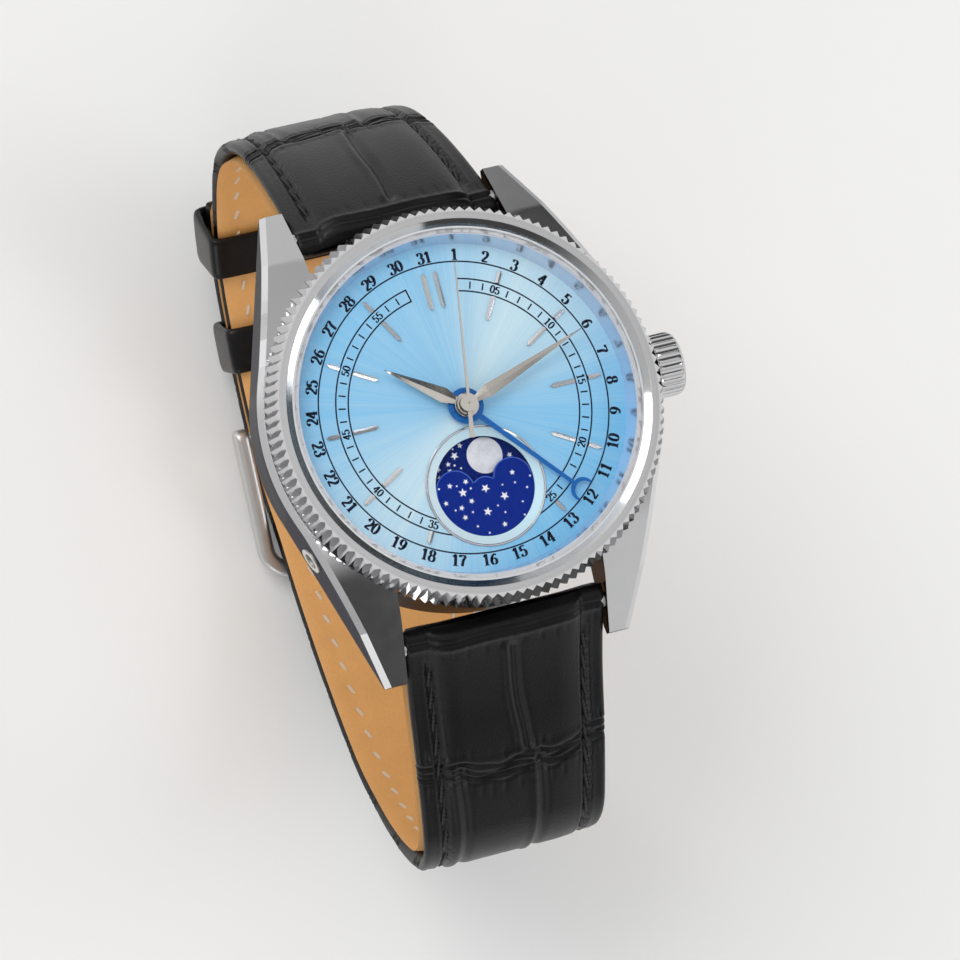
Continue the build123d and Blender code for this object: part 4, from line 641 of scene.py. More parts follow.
def grained(name, tone, axis, rough=0.3, scale=5200.0, depth=0.000012, contrast=0.16):
    """Brushed metal: noise stretched along one axis, or round Z for axis "round"."""
    shade = Shade(name)
    x, y, z = shade.parts(shade.point())
    if axis == "round":
        across = (x * x + y * y) ** 0.5
        vector = shade.joined(across * scale, z * scale * 0.1, 0.0)
    else:
        stretch = [0.03 if name_of == axis else 1.0 for name_of in "xyz"]
        vector = shade.joined(x * scale * stretch[0], y * scale * stretch[1], z * scale * stretch[2])
    grain = shade.noise(vector, 1.0, 3.0, 0.6)
    dark = rgba(tone, 1 - contrast)
    return shade.finish({
        "Base Color": shade.mix(grain, dark, rgba(tone)),
        "Metallic": 1.0,
        "Roughness": grain * 0.18 + rough,
        "Normal": shade.bump(grain, depth, 0.5),
    })


def bezel_material(sizes):
    """Polished flutes, a brushed flat ring inside them and a polished slope to the crystal."""
    shade = Shade("bezel_finish")
    x, y, z = shade.parts(shade.point())
    radius = (x * x + y * y) ** 0.5
    ring = radius.between(sizes.brushed_from, sizes.brushed_to - 0.0001, 0.00006)
    grain = shade.noise(shade.joined(radius * 16000.0, z * 500.0, 0.0), 1.0, 3.0)
    haze = shade.noise(shade.point(), 800.0)
    tone = shade.mix(ring * grain, rgba(sizes.bezel), rgba(sizes.bezel, 0.74))
    return shade.finish({
        "Base Color": tone,
        "Metallic": 1.0,
        "Roughness": haze * 0.05 + 0.05 + ring * (grain * 0.12 + 0.2),
        # Painted shade: the grey Specular Tint darkens the flutes' reflections seen edge-on.
        "Specular Tint": (0.4, 0.4, 0.41, 1.0),
        "Normal": shade.bump(ring * grain, 0.000012, 0.4),
    })


def case_material(sizes):
    """Case steel: polished above; along the upright flanks a satin with fine level lines, its dark tone
    painted shade that stands in for dark reflections, and a grey Specular Tint that darkens grazing
    reflections as painted shade.
    """
    shade = Shade("case_finish")
    x, y, z = shade.parts(shade.point())
    normal = shade.parts(shade.node("ShaderNodeNewGeometry", {}, {}, out="Normal"))
    # Mask of the upright faces, which get the painted dark satin.
    flank = 1 - normal[2].math("ABSOLUTE").steps(0.34, 0.60)
    grain = shade.noise(shade.joined(x * 260.0, y * 260.0, z * 9000.0), 1.0, 3.0)
    haze = shade.noise(shade.point(), 700.0)
    # The flank's real grain in the painted dark tone.
    satin = shade.mix(grain, rgba(sizes.flank, 0.8), rgba(sizes.flank))
    return shade.finish({
        "Base Color": shade.mix(flank, rgba(sizes.steel), satin),
        "Metallic": 1.0,
        "Roughness": haze * 0.04 + 0.05 + flank * (grain * 0.08 + 0.12),
        # Painted shade: the grey Specular Tint darkens reflections seen edge-on.
        "Specular Tint": (0.3, 0.3, 0.32, 1.0),
        "Normal": shade.bump(flank * grain, 0.000008, 0.3),
    })


def crystal_material(name, edge_tint):
    """Clear crystal: it reflects by Fresnel and is otherwise see-through."""
    shade = Shade(name)
    sheen = shade.node("ShaderNodeFresnel", {}, {"IOR": 1.38})
    smear = shade.noise(shade.point(), 120.0)
    return shade.finish({
        "Base Color": rgba(edge_tint),
        "Metallic": 1.0,
        "Roughness": smear * 0.01 + 0.01,
        "Alpha": (sheen * 0.18 + 0.001).clamp(),
    })


def flange_material(sizes):
    """Polished ring between dial and crystal, with fine lines round it; it mirrors the dial."""
    shade = Shade("flange_finish")
    x, y, z = shade.parts(shade.point())
    lines = shade.noise(shade.joined(z * 14000.0, (x * x + y * y) ** 0.5 * 14000.0, 0.0), 1.0, 2.0)
    slow = shade.noise(shade.point(), 160.0)
    return shade.finish({
        "Base Color": shade.mix(lines * 0.5 + slow * 0.5, rgba(sizes.flange_low), rgba(sizes.flange)),
        "Metallic": 0.85,
        "Roughness": lines * 0.08 + 0.19,
        "Coat Weight": 0.15,
        "Normal": shade.bump(lines, 0.000006, 0.3),
    })


def dial_material(sizes, moon):
    """Sunburst dial: fine spokes of lighter and darker blue, with painted highlights in two opposite
    fans, painted light towards the top and left, painted shade towards the rim, and a painted highlight
    on the pale ring's lower left.
    """
    shade = Shade("dial_finish")
    x, y, _ = shade.parts(shade.point())
    angle = y.math("ARCTAN2", x)
    cosine, sine = angle.math("COSINE"), angle.math("SINE")
    radius = (x * x + y * y) ** 0.5
    spoke = shade.noise(shade.joined(cosine * 85.0, sine * 85.0, radius * 25.0), 1.0, 6.0, 0.75)
    broad = shade.noise(shade.joined(cosine * 9.0, sine * 9.0, 0.0), 1.0, 3.0, 0.6)
    # Painted highlight: two opposite fans of brighter blue, fixed on the dial where the brushing's
    # reflection would be.
    painted_highlight_fans = ((angle - sizes.fan_angle).math("COSINE") ** 2.0) ** 2.6
    # Painted light: the dial is lighter towards the top and the left.
    across = (x * -4.0 + y * 10.0 + 0.5).clamp()
    # Painted shade: the dial darkens towards its rim, where the bezel's shadow falls.
    edge = radius.steps(9 * MM, 16.8 * MM)
    # The sum below adds the spokes' grain to the painted highlight, the painted light and the painted
    # shade.
    shine = across * 0.36 + painted_highlight_fans * 0.52 + (spoke - 0.5) * 0.55 + (broad - 0.5) * 0.3 - edge * 0.1
    tone = shade.mix(shine.clamp(), rgba(sizes.face), rgba(sizes.pale))
    below = y + moon.distance
    moon_radius = (x * x + below * below) ** 0.5
    annulus = 1 - moon_radius.steps(moon.ring_middle - 0.02 * MM, moon.ring_middle + 0.02 * MM)
    rings = shade.noise(shade.joined(moon_radius * 30000.0, 0.0, 0.0), 1.0, 2.0)
    # Painted highlight: the pale ring round the moon window turns whiter towards its lower left.
    white = (x * -120.0 - below * 60.0 + 0.2).clamp()
    pale_ring_and_highlight = shade.mix(white * 0.6, rgba(sizes.ring), (0.86, 0.96, 0.99, 1.0))
    tone = shade.mix(annulus * 0.9, tone, pale_ring_and_highlight)
    grooves = spoke * (1 - annulus) + rings * annulus * 0.6
    return shade.finish({
        "Base Color": tone,
        "Metallic": 0.12,
        "Roughness": spoke * 0.16 + 0.34,
        "Coat Weight": 0.1,
        "Coat Roughness": 0.06,
        "Normal": shade.bump(grooves, 0.000012, 0.3),
    })


def enamel(name, tone, rough=0.3, speck=0.15, metallic=0.0, coat=0.4, shine=0.5):
    """Print or lacquer: an even colour with slight pooling and a faint texture."""
    shade = Shade(name)
    spot = shade.point()
    pool = shade.noise(spot, 1500.0, 3.0)
    fine = shade.noise(spot, 12000.0, 2.0)
    return shade.finish({
        "Base Color": shade.mix(pool, rgba(tone, 1 - speck), rgba(tone)),
        "Metallic": metallic,
        "Roughness": pool * 0.1 + rough,
        "Specular IOR Level": shine,
        "Coat Weight": coat,
        "Coat Roughness": 0.08,
        "Normal": shade.bump(fine, 0.000004, 0.3),
    })


def pearl_material(sizes):
    """The moon: pearl with soft grey seas and small craters."""
    shade = Shade("moon_pearl_finish")
    spot = shade.point()
    seas = shade.noise(spot, 620.0, 4.0, 0.6).steps(0.42, 0.62)
    craters = shade.cells(spot, 2300.0).steps(0.1, 0.45)
    tone = shade.mix(seas, rgba(sizes.pearl), rgba(sizes.pearl, 0.86))
    tone = shade.mix(craters, rgba(sizes.pearl, 0.9), tone)
    return shade.finish({
        "Base Color": tone,
        "Metallic": 0.25,
        "Roughness": seas * 0.15 + 0.3,
        "Coat Weight": 0.3,
        "Normal": shade.bump(craters, 0.00002, 0.5),
    })


def leather_material(name, tone, gloss=0.3, pore=3600.0, lift=0.00005):
    """Embossed leather under a gloss finish: tiny cells for grain, pores and slow mottling."""
    shade = Shade(name)
    spot = shade.point()
    grain = shade.cells(spot, pore).steps(0.0, 0.75)
    fine = shade.cells(spot, pore * 2.7).steps(0.0, 0.8)
    mottle = shade.noise(spot, 260.0, 4.0, 0.55)
    dust = shade.noise(spot, 5200.0, 2.0).steps(0.66, 0.8)
    light = rgba([min(1.0, c * 1.8 + 0.0015) for c in tone])
    body = shade.mix(mottle * 0.7 + dust * 0.3, rgba(tone), light)
    return shade.finish({
        "Base Color": body,
        "Roughness": mottle * 0.14 + gloss + dust * 0.1,
        "Specular IOR Level": 0.24,
        "Coat Weight": 0.08,
        "Coat Roughness": 0.12,
        "Normal": shade.bump(grain * 0.65 + fine * 0.35, lift, 0.32),
    })


def lining_material(sizes):
    """Smooth tan lining: mottled calf with small pores and faint creases."""
    shade = Shade("lining_finish")
    spot = shade.point()
    x, y, z = shade.parts(spot)
    mottle = shade.noise(spot, 220.0, 5.0, 0.6)
    pores = shade.cells(spot, 4200.0).steps(0.05, 0.4)
    creases = shade.noise(shade.joined(x * 160.0, y * 900.0, z * 900.0), 1.0, 3.0)
    tone = shade.mix(mottle, rgba(sizes.lining, 0.80), rgba(sizes.lining))
    tone = shade.mix((1 - pores) * 0.35, tone, rgba(sizes.lining, 0.55))
    return shade.finish({
        "Base Color": tone,
        "Roughness": mottle * 0.15 + 0.5,
        "Normal": shade.bump(pores * 0.7 + creases * 0.5, 0.00004, 0.35),
    })


def thread_material(name, tone, rough=0.55):
    """Waxed thread: fine fibres along the twist."""
    shade = Shade(name)
    fibre = shade.noise(shade.point(), 16000.0, 3.0)
    return shade.finish({
        "Base Color": shade.mix(fibre, rgba(tone, 0.6), rgba(tone)),
        "Roughness": fibre * 0.2 + rough,
        "Normal": shade.bump(fibre, 0.00002, 0.5),
    })


def bridge_material(name, tone, stripe=0.0012, turn=0.6):
    """Nickel bridge with a row of broad stripes, each a shallow arc of fine lines."""
    shade = Shade(name)
    x, y, _ = shade.parts(shade.point())
    along = x * math.cos(turn) + y * math.sin(turn)
    across = y * math.cos(turn) - x * math.sin(turn)
    phase = (across / stripe).math("FRACT")
    lines = shade.noise(shade.joined(across * 9000.0 + phase * along * 700.0, 0.0, 0.0), 1.0, 2.0)
    tone_of = shade.mix(phase * 0.6 + lines * 0.3, rgba(tone), rgba(tone, 0.66))
    return shade.finish({
        "Base Color": tone_of,
        "Metallic": 1.0,
        "Roughness": lines * 0.12 + 0.2,
        "Normal": shade.bump(phase, 0.00004, 0.4),
    })


def plate_material(name, tone):
    """Main plate covered with small round polished spots in rows."""
    shade = Shade(name)
    x, y, _ = shade.parts(shade.point())
    pitch = 0.0009
    u = (x / pitch).math("FRACT") - 0.5
    v = (y / pitch).math("FRACT") - 0.5
    rings = ((u * u + v * v) ** 0.5 * 40.0).math("SINE") * 0.5 + 0.5
    return shade.finish({
        "Base Color": shade.mix(rings, rgba(tone, 0.75), rgba(tone)),
        "Metallic": 1.0,
        "Roughness": rings * 0.15 + 0.22,
        "Normal": shade.bump(rings, 0.00001, 0.4),
    })


def ruby_material():
    shade = Shade("ruby_finish")
    cloud = shade.noise(shade.point(), 2500.0)
    return shade.finish({
        "Base Color": shade.mix(cloud, (0.45, 0.005, 0.05, 1.0), (0.75, 0.02, 0.12, 1.0)),
        "Roughness": cloud * 0.05 + 0.05,
        "Coat Weight": 0.6,
    })


def dress(material, *names):
    """Gives CAD nodes a material."""
    for name in names:
        mesh = frame["nodes"][name].data
        mesh.materials.clear()
        mesh.materials.append(material)


def smooth_normals(mesh):
    """Normals for shading: each corner sums the normals of the faces round its point, weighted by
    their corner angles, over its own CAD face and over neighbours within SMOOTH_ANGLE. Flat CAD
    faces outweigh curved ones, and two flat ones are never blended."""
    corners = np.empty(len(mesh.loops), int)
    mesh.loops.foreach_get("vertex_index", corners)
    points = np.empty(len(mesh.vertices) * 3)
    mesh.vertices.foreach_get("co", points)
    points = points.reshape(-1, 3)
    triangle = corners.reshape(-1, 3)
    sides = np.roll(points[triangle], -1, axis=1) - points[triangle]
    cross = np.cross(sides[:, 0], sides[:, 1])
    area = np.linalg.norm(cross, axis=1)
    facing = cross / np.maximum(area, 1e-20)[:, None]
    sides /= np.maximum(np.linalg.norm(sides, axis=2), 1e-20)[:, :, None]
    opening = np.arccos(np.clip(-(sides * np.roll(sides, 1, axis=1)).sum(2), -1, 1)).ravel()
    patch = np.arange(len(points))
    while True:
        lowest = patch[triangle].min(axis=1)
        before = patch.copy()
        for column in range(3):
            np.minimum.at(patch, triangle[:, column], lowest)
        patch = patch[patch]
        if (patch == before).all():
            break
    home = patch[triangle[:, 0]]
    total = np.zeros((len(points), 3))
    np.add.at(total, home, cross)
    size = np.bincount(home, area, len(points))
    flat = (np.linalg.norm(total, axis=1) > size * 0.99999)[home]
    rounded = np.round(points * 10**MERGE_DIGITS).astype(int)
    place = np.unique(rounded, axis=0, return_inverse=True)[1].ravel()[corners]
    order = np.argsort(place, kind="stable")
    face = np.arange(len(corners)) // 3
    normals = np.zeros((len(corners), 3))
    first = np.searchsorted(place[order], place)
    count = np.bincount(place)[place]
    near = math.cos(math.radians(SMOOTH_ANGLE))
    for step in range(count.max()):
        mine = np.nonzero(count > step)[0]
        other = order[first[mine] + step]
        a, b = face[mine], face[other]
        cosine = (facing[a] * facing[b]).sum(1)
        joined = (home[a] == home[b]) | ((cosine > near) & ~(flat[a] & flat[b])) | (cosine > 0.9999)
        weight = opening[other] * np.where(flat[b], 1000.0, 1.0) * joined
        normals[mine] += facing[b] * weight[:, None]
    return normals / np.maximum(np.linalg.norm(normals, axis=1), 1e-20)[:, None]


def smoothed(material, *names):
    """Copies of CAD nodes with smooth curves and crisp edges, each in its node's place."""
    for name in names:
        mesh = frame["nodes"][name].data.copy()
        mesh.name = f"{name}_smooth"
        mesh.shade_smooth()
        mesh.normals_split_custom_set(smooth_normals(mesh))
        mesh.materials.clear()
        mesh.materials.append(material)
        piece = bpy.data.objects.new(mesh.name, mesh)
        bpy.context.scene.collection.objects.link(piece)
        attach(piece, BODY_OF[name])
        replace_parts(piece, name)


# Operators


class WATCH_OT_stage(bpy.types.Operator):
    """Sets up the pale floor, the soft lights and the camera"""

    bl_idname = "watch.stage"
    bl_label = "Stage"

    def execute(self, context):
        sizes = context.scene.watch_stage
        scene = context.scene
        scene.view_settings.view_transform = "Standard"
        camera = bpy.data.objects.new("Camera", bpy.data.cameras.new("Camera"))
        scene.collection.objects.link(camera)
        scene.camera = camera
        camera.data.lens = sizes.camera_lens
        camera.data.sensor_width = 36.0
        camera.data.clip_start = 0.01
        camera.data.clip_end = 20.0
        ahead = (Vector(sizes.camera_aim) - Vector(sizes.camera_at)).normalized()
        level = ahead.cross(Vector((0, 1, 0))).normalized()
        upright = level.cross(ahead)
        roll = sizes.camera_roll
        up = upright * math.cos(roll) + level * math.sin(roll)
        right = ahead.cross(up)
        turn = Matrix((right, up, -ahead)).transposed()
        camera.matrix_world = Matrix.Translation(sizes.camera_at) @ turn.to_4x4()
        self.floor(context, sizes)
        self.lights(context, sizes)
        self.world(context, sizes)
        return {"FINISHED"}

    def floor(self, context, sizes):
        half = sizes.floor_size / 2
        level = CAD_BOX[0].z - 0.0001
        corners = [(x * half, y * half, level) for x, y in ((-1, -1), (1, -1), (1, 1), (-1, 1))]
        mesh = bpy.data.meshes.new("floor")
        mesh.from_pydata(corners, [], [(0, 1, 2, 3)])
        floor = bpy.data.objects.new("floor", mesh)
        context.scene.collection.objects.link(floor)
        shade = Shade("floor_finish")
        tone = shade.noise(shade.point(), 3.0)
        mesh.materials.append(shade.finish({
            "Base Color": shade.mix(tone, rgba(sizes.floor_colour, 0.98), rgba(sizes.floor_colour)),
            "Roughness": 0.85,
            "Specular IOR Level": 0.15,
        }))

    def lights(self, context, sizes):
        for name, at, aim, size, power, tone in (
            ("key", (-0.32, 0.34, 0.60), (0, 0, 0), 0.45, sizes.key_power, (1.0, 0.99, 0.97)),
            ("side", (0.55, -0.15, 0.35), (0, 0, 0), 0.30, sizes.side_power, (0.97, 0.98, 1.0)),
            ("low", (-0.30, -0.55, 0.20), (0, -0.01, 0), 0.25, sizes.side_power * 0.7, (1.0, 1.0, 1.0)),
        ):
            lamp = bpy.data.lights.new(name, "AREA")
            lamp.energy = power
            lamp.size = size
            lamp.color = tone
            holder = bpy.data.objects.new(name, lamp)
            context.scene.collection.objects.link(holder)
            holder.location = at
            holder.rotation_mode = "QUATERNION"
            holder.rotation_quaternion = (Vector(aim) - Vector(at)).to_track_quat("-Z", "Y")

    def world(self, context, sizes):
        """Even light; a white backdrop to the eye; a bright ceiling over darker walls in reflections."""
        world = bpy.data.worlds.new("studio")
        context.scene.world = world
        world.use_nodes = True
        room = Shade("studio", world.node_tree)
        x, y, z = room.parts(room.node("ShaderNodeTexCoord", {}, {}, out="Generated"))
        ceiling = z.steps(0.80, 0.95)
        walls = 1 - z.steps(0.02, 0.34)
        window = (y * 0.35 - x).steps(0.05, 0.75)
        above, below = y.steps(0.30, 0.62), (-y).steps(0.30, 0.62)
        panel = x.steps(0.235, 0.268)
        dark = (x + y * 0.2).steps(0.30, 0.62) * (1 - below)
        tone = window * 0.34 + above * (0.30 - panel * 0.34) + below * (panel * 0.55 - 0.1) - dark * 0.13
        tone = (tone * (1 - ceiling) + ceiling * 0.58 + walls * 0.16 + 0.16).clamp()
        reflected = room.node("ShaderNodeBackground", {}, {0: room.joined(tone, tone, tone), 1: 1.0})
        spread = room.node("ShaderNodeBackground", {}, {0: (1.0, 1.0, 1.0, 1.0), 1: sizes.sky_light})
        seen = room.node("ShaderNodeBackground", {}, {0: (1.0, 1.0, 1.0, 1.0), 1: 1.0})
        glossy = room.node("ShaderNodeLightPath", {}, {}, out="Is Glossy Ray")
        camera = room.node("ShaderNodeLightPath", {}, {}, out="Is Camera Ray")
        light = room.node("ShaderNodeMixShader", {}, {0: glossy, 1: spread, 2: reflected})
        final = room.node("ShaderNodeMixShader", {}, {0: camera, 1: light, 2: seen})
        room.node("ShaderNodeOutputWorld", {}, {0: final}, out=None)


class WATCH_OT_case(bpy.types.Operator):
    """Finishes the case, bezel, crystal, crown and case back"""

    bl_idname = "watch.case"
    bl_label = "Case finishes"

    def execute(self, context):
        sizes = context.scene.watch_metal
        smoothed(case_material(sizes), "mid_case")
        smoothed(bezel_material(sizes), "bezel")
        smoothed(flange_material(sizes), "flange_ring")
        smoothed(polished("crown_finish", sizes.bezel, 0.09), "crown", "corrector_push")
        smoothed(grained("case_back_finish", sizes.steel, "round"), "case_back")
        smoothed(crystal_material("crystal_finish", (0.97, 0.98, 1.0)), "crystal", "case_back_glass")
        dress(enamel("gasket_finish", (0.75, 0.76, 0.78), 0.4), "crystal_gasket")
        dress(enamel("rubber_finish", (0.02, 0.02, 0.02), 0.6), "case_back_gasket", "crown_gasket")
        dress(grained("holder_finish", sizes.nickel, "round", 0.34), "movement_holder", "crown_tube",
              "corrector_sleeve", "spring_bars")
        return {"FINISHED"}


class WATCH_OT_dial(bpy.types.Operator):
    """Finishes the dial, the moon plate, the markers and the hands"""

    bl_idname = "watch.dial"
    bl_label = "Dial finishes"

    def execute(self, context):
        dial, moon, metal = context.scene.watch_dial, context.scene.watch_moon, context.scene.watch_metal
        dress(dial_material(dial, moon), "dial")
        dress(polished("marker_finish", (0.93, 0.92, 0.90), 0.16), "hour_markers")
        smoothed(polished("moon_ring_finish", metal.bezel, 0.12), "moon_frame_ring")
        for name, tone in (("moon_plate", moon.plate), ("moon_disc", moon.disc)):
            dress(enamel(f"{name}_finish", tone, 0.24, 0.1, coat=0.0, shine=0.03), name)
        dress(pearl_material(moon), "moon_inlays")
        dress(polished("hand_finish", metal.hand, 0.2, 0.08), "hour_hand", "minute_hand", "seconds_hand")
        blue = enamel("date_hand_finish", (0.002, 0.14, 0.50), 0.24, 0.1, 0.25, coat=0.1, shine=0.3)
        dress(blue, "date_hand")
        return {"FINISHED"}


class WATCH_OT_print(bpy.types.Operator):
    """Prints the date numbers, the minute track and its numbers on the dial"""

    bl_idname = "watch.dial_print"
    bl_label = "Dial print"

    def execute(self, context):
        sizes, moon = context.scene.watch_dial, context.scene.watch_moon
        low = sizes.height - sizes.print_depth
        high = sizes.height + sizes.print_depth
        ink = enamel("ink_finish", sizes.ink, 0.35, 0.05, coat=0.0, shine=0.1)
        dates = Batch()
        for day in range(1, 32):
            outward = not 9 <= day <= 23
            write_number(dates, str(day), day * 360 / 31, sizes.date_radius, sizes.date_height,
                         low, high, outward)
        dates.put("date_numbers", "dial", ink)
        track = Batch()
        width = sizes.line_width
        full_ring(track, sizes.date_line - width / 2, sizes.date_line + width / 2, low, high)
        gap = math.degrees(sizes.track_gap)
        for radius in (sizes.track_outer, sizes.track_inner):
            reach = self.ring_clear(radius, moon)
            arc_line(track, radius, gap, 180 - reach, width, low, high)
            arc_line(track, radius, 180 + reach, 360 - gap, width, low, high)
        for angle in (gap, 360 - gap):
            over = width / 2
            ends = np.array([sizes.track_inner - over, sizes.track_outer + over])
            track.add_tube(ribbon(on_clock(angle, ends), width / 2, low, high))
        self.ticks(track, sizes, moon, low, high, width)
        track.put("minute_track", "dial", ink)
        minutes = Batch()
        middle = (sizes.track_outer + sizes.track_inner) / 2
        for minute in (5, 10, 15, 20, 25, 35, 40, 45, 50, 55):
            outward = minute in (45, 50, 55, 5, 10, 15)
            write_number(minutes, f"{minute:02d}", minute * 6, middle, sizes.minute_height,
                         low, high, outward, 0.22, 0.1)
        minutes.put("minute_numbers", "dial", ink)
        return {"FINISHED"}

    def ring_clear(self, radius, moon):
        """Half the angle at which a circle on the dial meets the moon ring, by the law of cosines."""
        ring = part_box("moon_frame_ring")[1][0]
        cosine = (radius**2 + moon.distance**2 - ring**2) / (2 * radius * moon.distance)
        return math.degrees(math.acos(min(1, max(-1, cosine)))) if abs(cosine) < 1 else 0.0

    def ticks(self, track, sizes, moon, low, high, width):
        """A short tick at each minute that has no number and stays clear of the moon ring."""
        middle = (sizes.track_outer + sizes.track_inner) / 2
        reach = (sizes.track_outer - sizes.track_inner) * 0.29
        for minute in range(3, 58):
            angle = minute * 6
            if minute % 5 == 0 or abs(angle - 180) < self.ring_clear(middle, moon) + 1.5:
                continue
            ends = on_clock(angle, np.array([middle - reach, middle + reach]))
            track.add_tube(ribbon(ends, width / 2, low, high))


def with_far_side(marks):
    """Marks of the moon disc, and the same ones turned half round for its other moon."""
    return marks + tuple((-x, -y, size) for x, y, size in marks)


# Stars and dots of the moon window: x and y in millimetres from the moon's pivot, and a size
PLATE_STARS = (
    (-3.43, 0.80, 24), (-1.77, 0.86, 24), (-2.33, -0.13, 36), (-1.70, -1.12, 24), (-4.24, -0.77, 22),
    (-2.84, -1.55, 24), (-2.74, -2.54, 24), (-0.40, -2.49, 36), (1.65, -1.36, 36), (3.01, 0.70, 24),
    (-0.02, -0.21, 36), (0.93, -4.08, 24),
)
PLATE_DOTS = (
    (-4.55, 0.76, 10), (-2.75, 0.64, 9), (-1.45, 0.11, 10), (-3.50, -1.64, 10), (-1.86, -2.19, 10),
    (-1.76, -3.66, 11), (-0.78, -4.55, 10), (1.73, -0.26, 9), (3.01, -0.33, 10), (4.07, -1.06, 11),
    (4.65, -0.03, 10), (3.26, -2.32, 10), (0.74, -2.14, 9), (1.29, -2.94, 10), (3.11, -3.62, 10),
)
DISC_STARS = with_far_side((
    (-1.26, 4.51, 24), (-2.04, 3.64, 34), (-2.87, 2.97, 22), (-3.99, 2.70, 24), (-4.06, 1.85, 22),
    (-2.87, 2.25, 24), (3.35, 2.50, 24),
))
DISC_DOTS = with_far_side((
    (-2.04, 4.32, 10), (-2.28, 2.73, 11), (-1.72, 2.32, 10), (-1.82, 1.73, 10), (3.90, 1.60, 10),
))
STAR_UNIT, DOT_UNIT = MM / 78, MM / 100  # length of one step of a star's and of a dot's size


class WATCH_OT_stars(bpy.types.Operator):
    """Prints the stars, the dots and the hump lines of the moon window"""

    bl_idname = "watch.moon_print"
    bl_label = "Moon window print"

    def execute(self, context):
        dial, moon = context.scene.watch_dial, context.scene.watch_moon
        white = enamel("star_finish", moon.star_colour, 0.4, 0.05)
        for name, node, stars, dots in (
            ("plate_stars", "moon_plate", PLATE_STARS, PLATE_DOTS),
            ("disc_stars", "moon_disc", DISC_STARS, DISC_DOTS),
        ):
            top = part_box(node)[1][2]
            low, high = top - dial.print_depth, top + dial.print_depth
            batch = Batch()
            for index, (x, y, size) in enumerate(stars):
                star(batch, x * MM, y * MM - moon.distance, size * STAR_UNIT, index * 41, low, high)
            for x, y, size in dots:
                star(batch, x * MM, y * MM - moon.distance, size * DOT_UNIT, 0, low, high, 4, 1.0)
            batch.put(name, node, white)
        self.hump_lines(dial, moon)
        return {"FINISHED"}

    def hump_lines(self, dial, moon):
        """A fine lighter line inside the plate's upper edge, over both humps and the middle rise."""
        line = enamel("hump_line_finish", (0.05, 0.16, 0.75), 0.3, 0.05)
        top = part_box("moon_plate")[1][2]
        batch = Batch()
        width = 0.07 * MM
        centre = np.array([0, -moon.distance])
        for radius, x, y in (
            (moon.hump_radius, moon.hump_spread, moon.hump_lift),
            (moon.hump_radius, -moon.hump_spread, moon.hump_lift),
            (moon.rise_radius, 0.0, -moon.rise_drop),
        ):
            turn = np.radians(np.linspace(0, 180, 90))
            path = np.stack([np.cos(turn), np.sin(turn)], -1) * (radius - width) + np.array([x, y])
            inside = np.linalg.norm(path, axis=1) < moon.ring_inner + 0.3 * MM
            if x:
                inside &= np.linalg.norm(path + np.array([0, moon.rise_drop]), axis=1) > moon.rise_radius
            else:
                inside &= np.abs(path[:, 0]) < moon.hump_spread - moon.hump_radius
            batch.add_tube(ribbon(path[inside] + centre, width / 2, top, top + dial.print_depth * 2))
        batch.put("hump_lines", "moon_plate", line)


class WATCH_OT_movement(bpy.types.Operator):
    """Finishes the movement that shows through the case back"""

    bl_idname = "watch.movement"
    bl_label = "Movement finishes"

    def execute(self, context):
        sizes = context.scene.watch_metal
        dress(bridge_material("bridge_finish", sizes.nickel), "barrel_bridge", "train_bridge",
              "pallet_bridge", "balance_cock")
        dress(bridge_material("rotor_finish", sizes.nickel, 0.0016, -0.4), "rotor")
        dress(plate_material("plate_finish", sizes.nickel), "main_plate")
        dress(grained("brass_finish", sizes.brass, "round", 0.26, 9000.0), "minute_wheel", "hour_wheel",
              "date_wheel", "barrel_drum", "centre_wheel", "third_wheel", "fourth_wheel",
              "balance_wheel")
        dress(grained("steel_finish", (0.62, 0.62, 0.64), "round", 0.22, 9000.0), "cannon_pinion",
              "ratchet_wheel", "crown_wheel", "escape_wheel", "pallet_fork", "rotor_bearing",
              "winding_stem", "winding_pinion")
        dress(polished("spring_finish", (0.36, 0.40, 0.52), 0.2), "mainspring", "hairspring",
              "corrector_spring")
        dress(polished("screw_finish", (0.16, 0.22, 0.52), 0.14), "bridge_screws")
        dress(ruby_material(), "jewels")
        return {"FINISHED"}


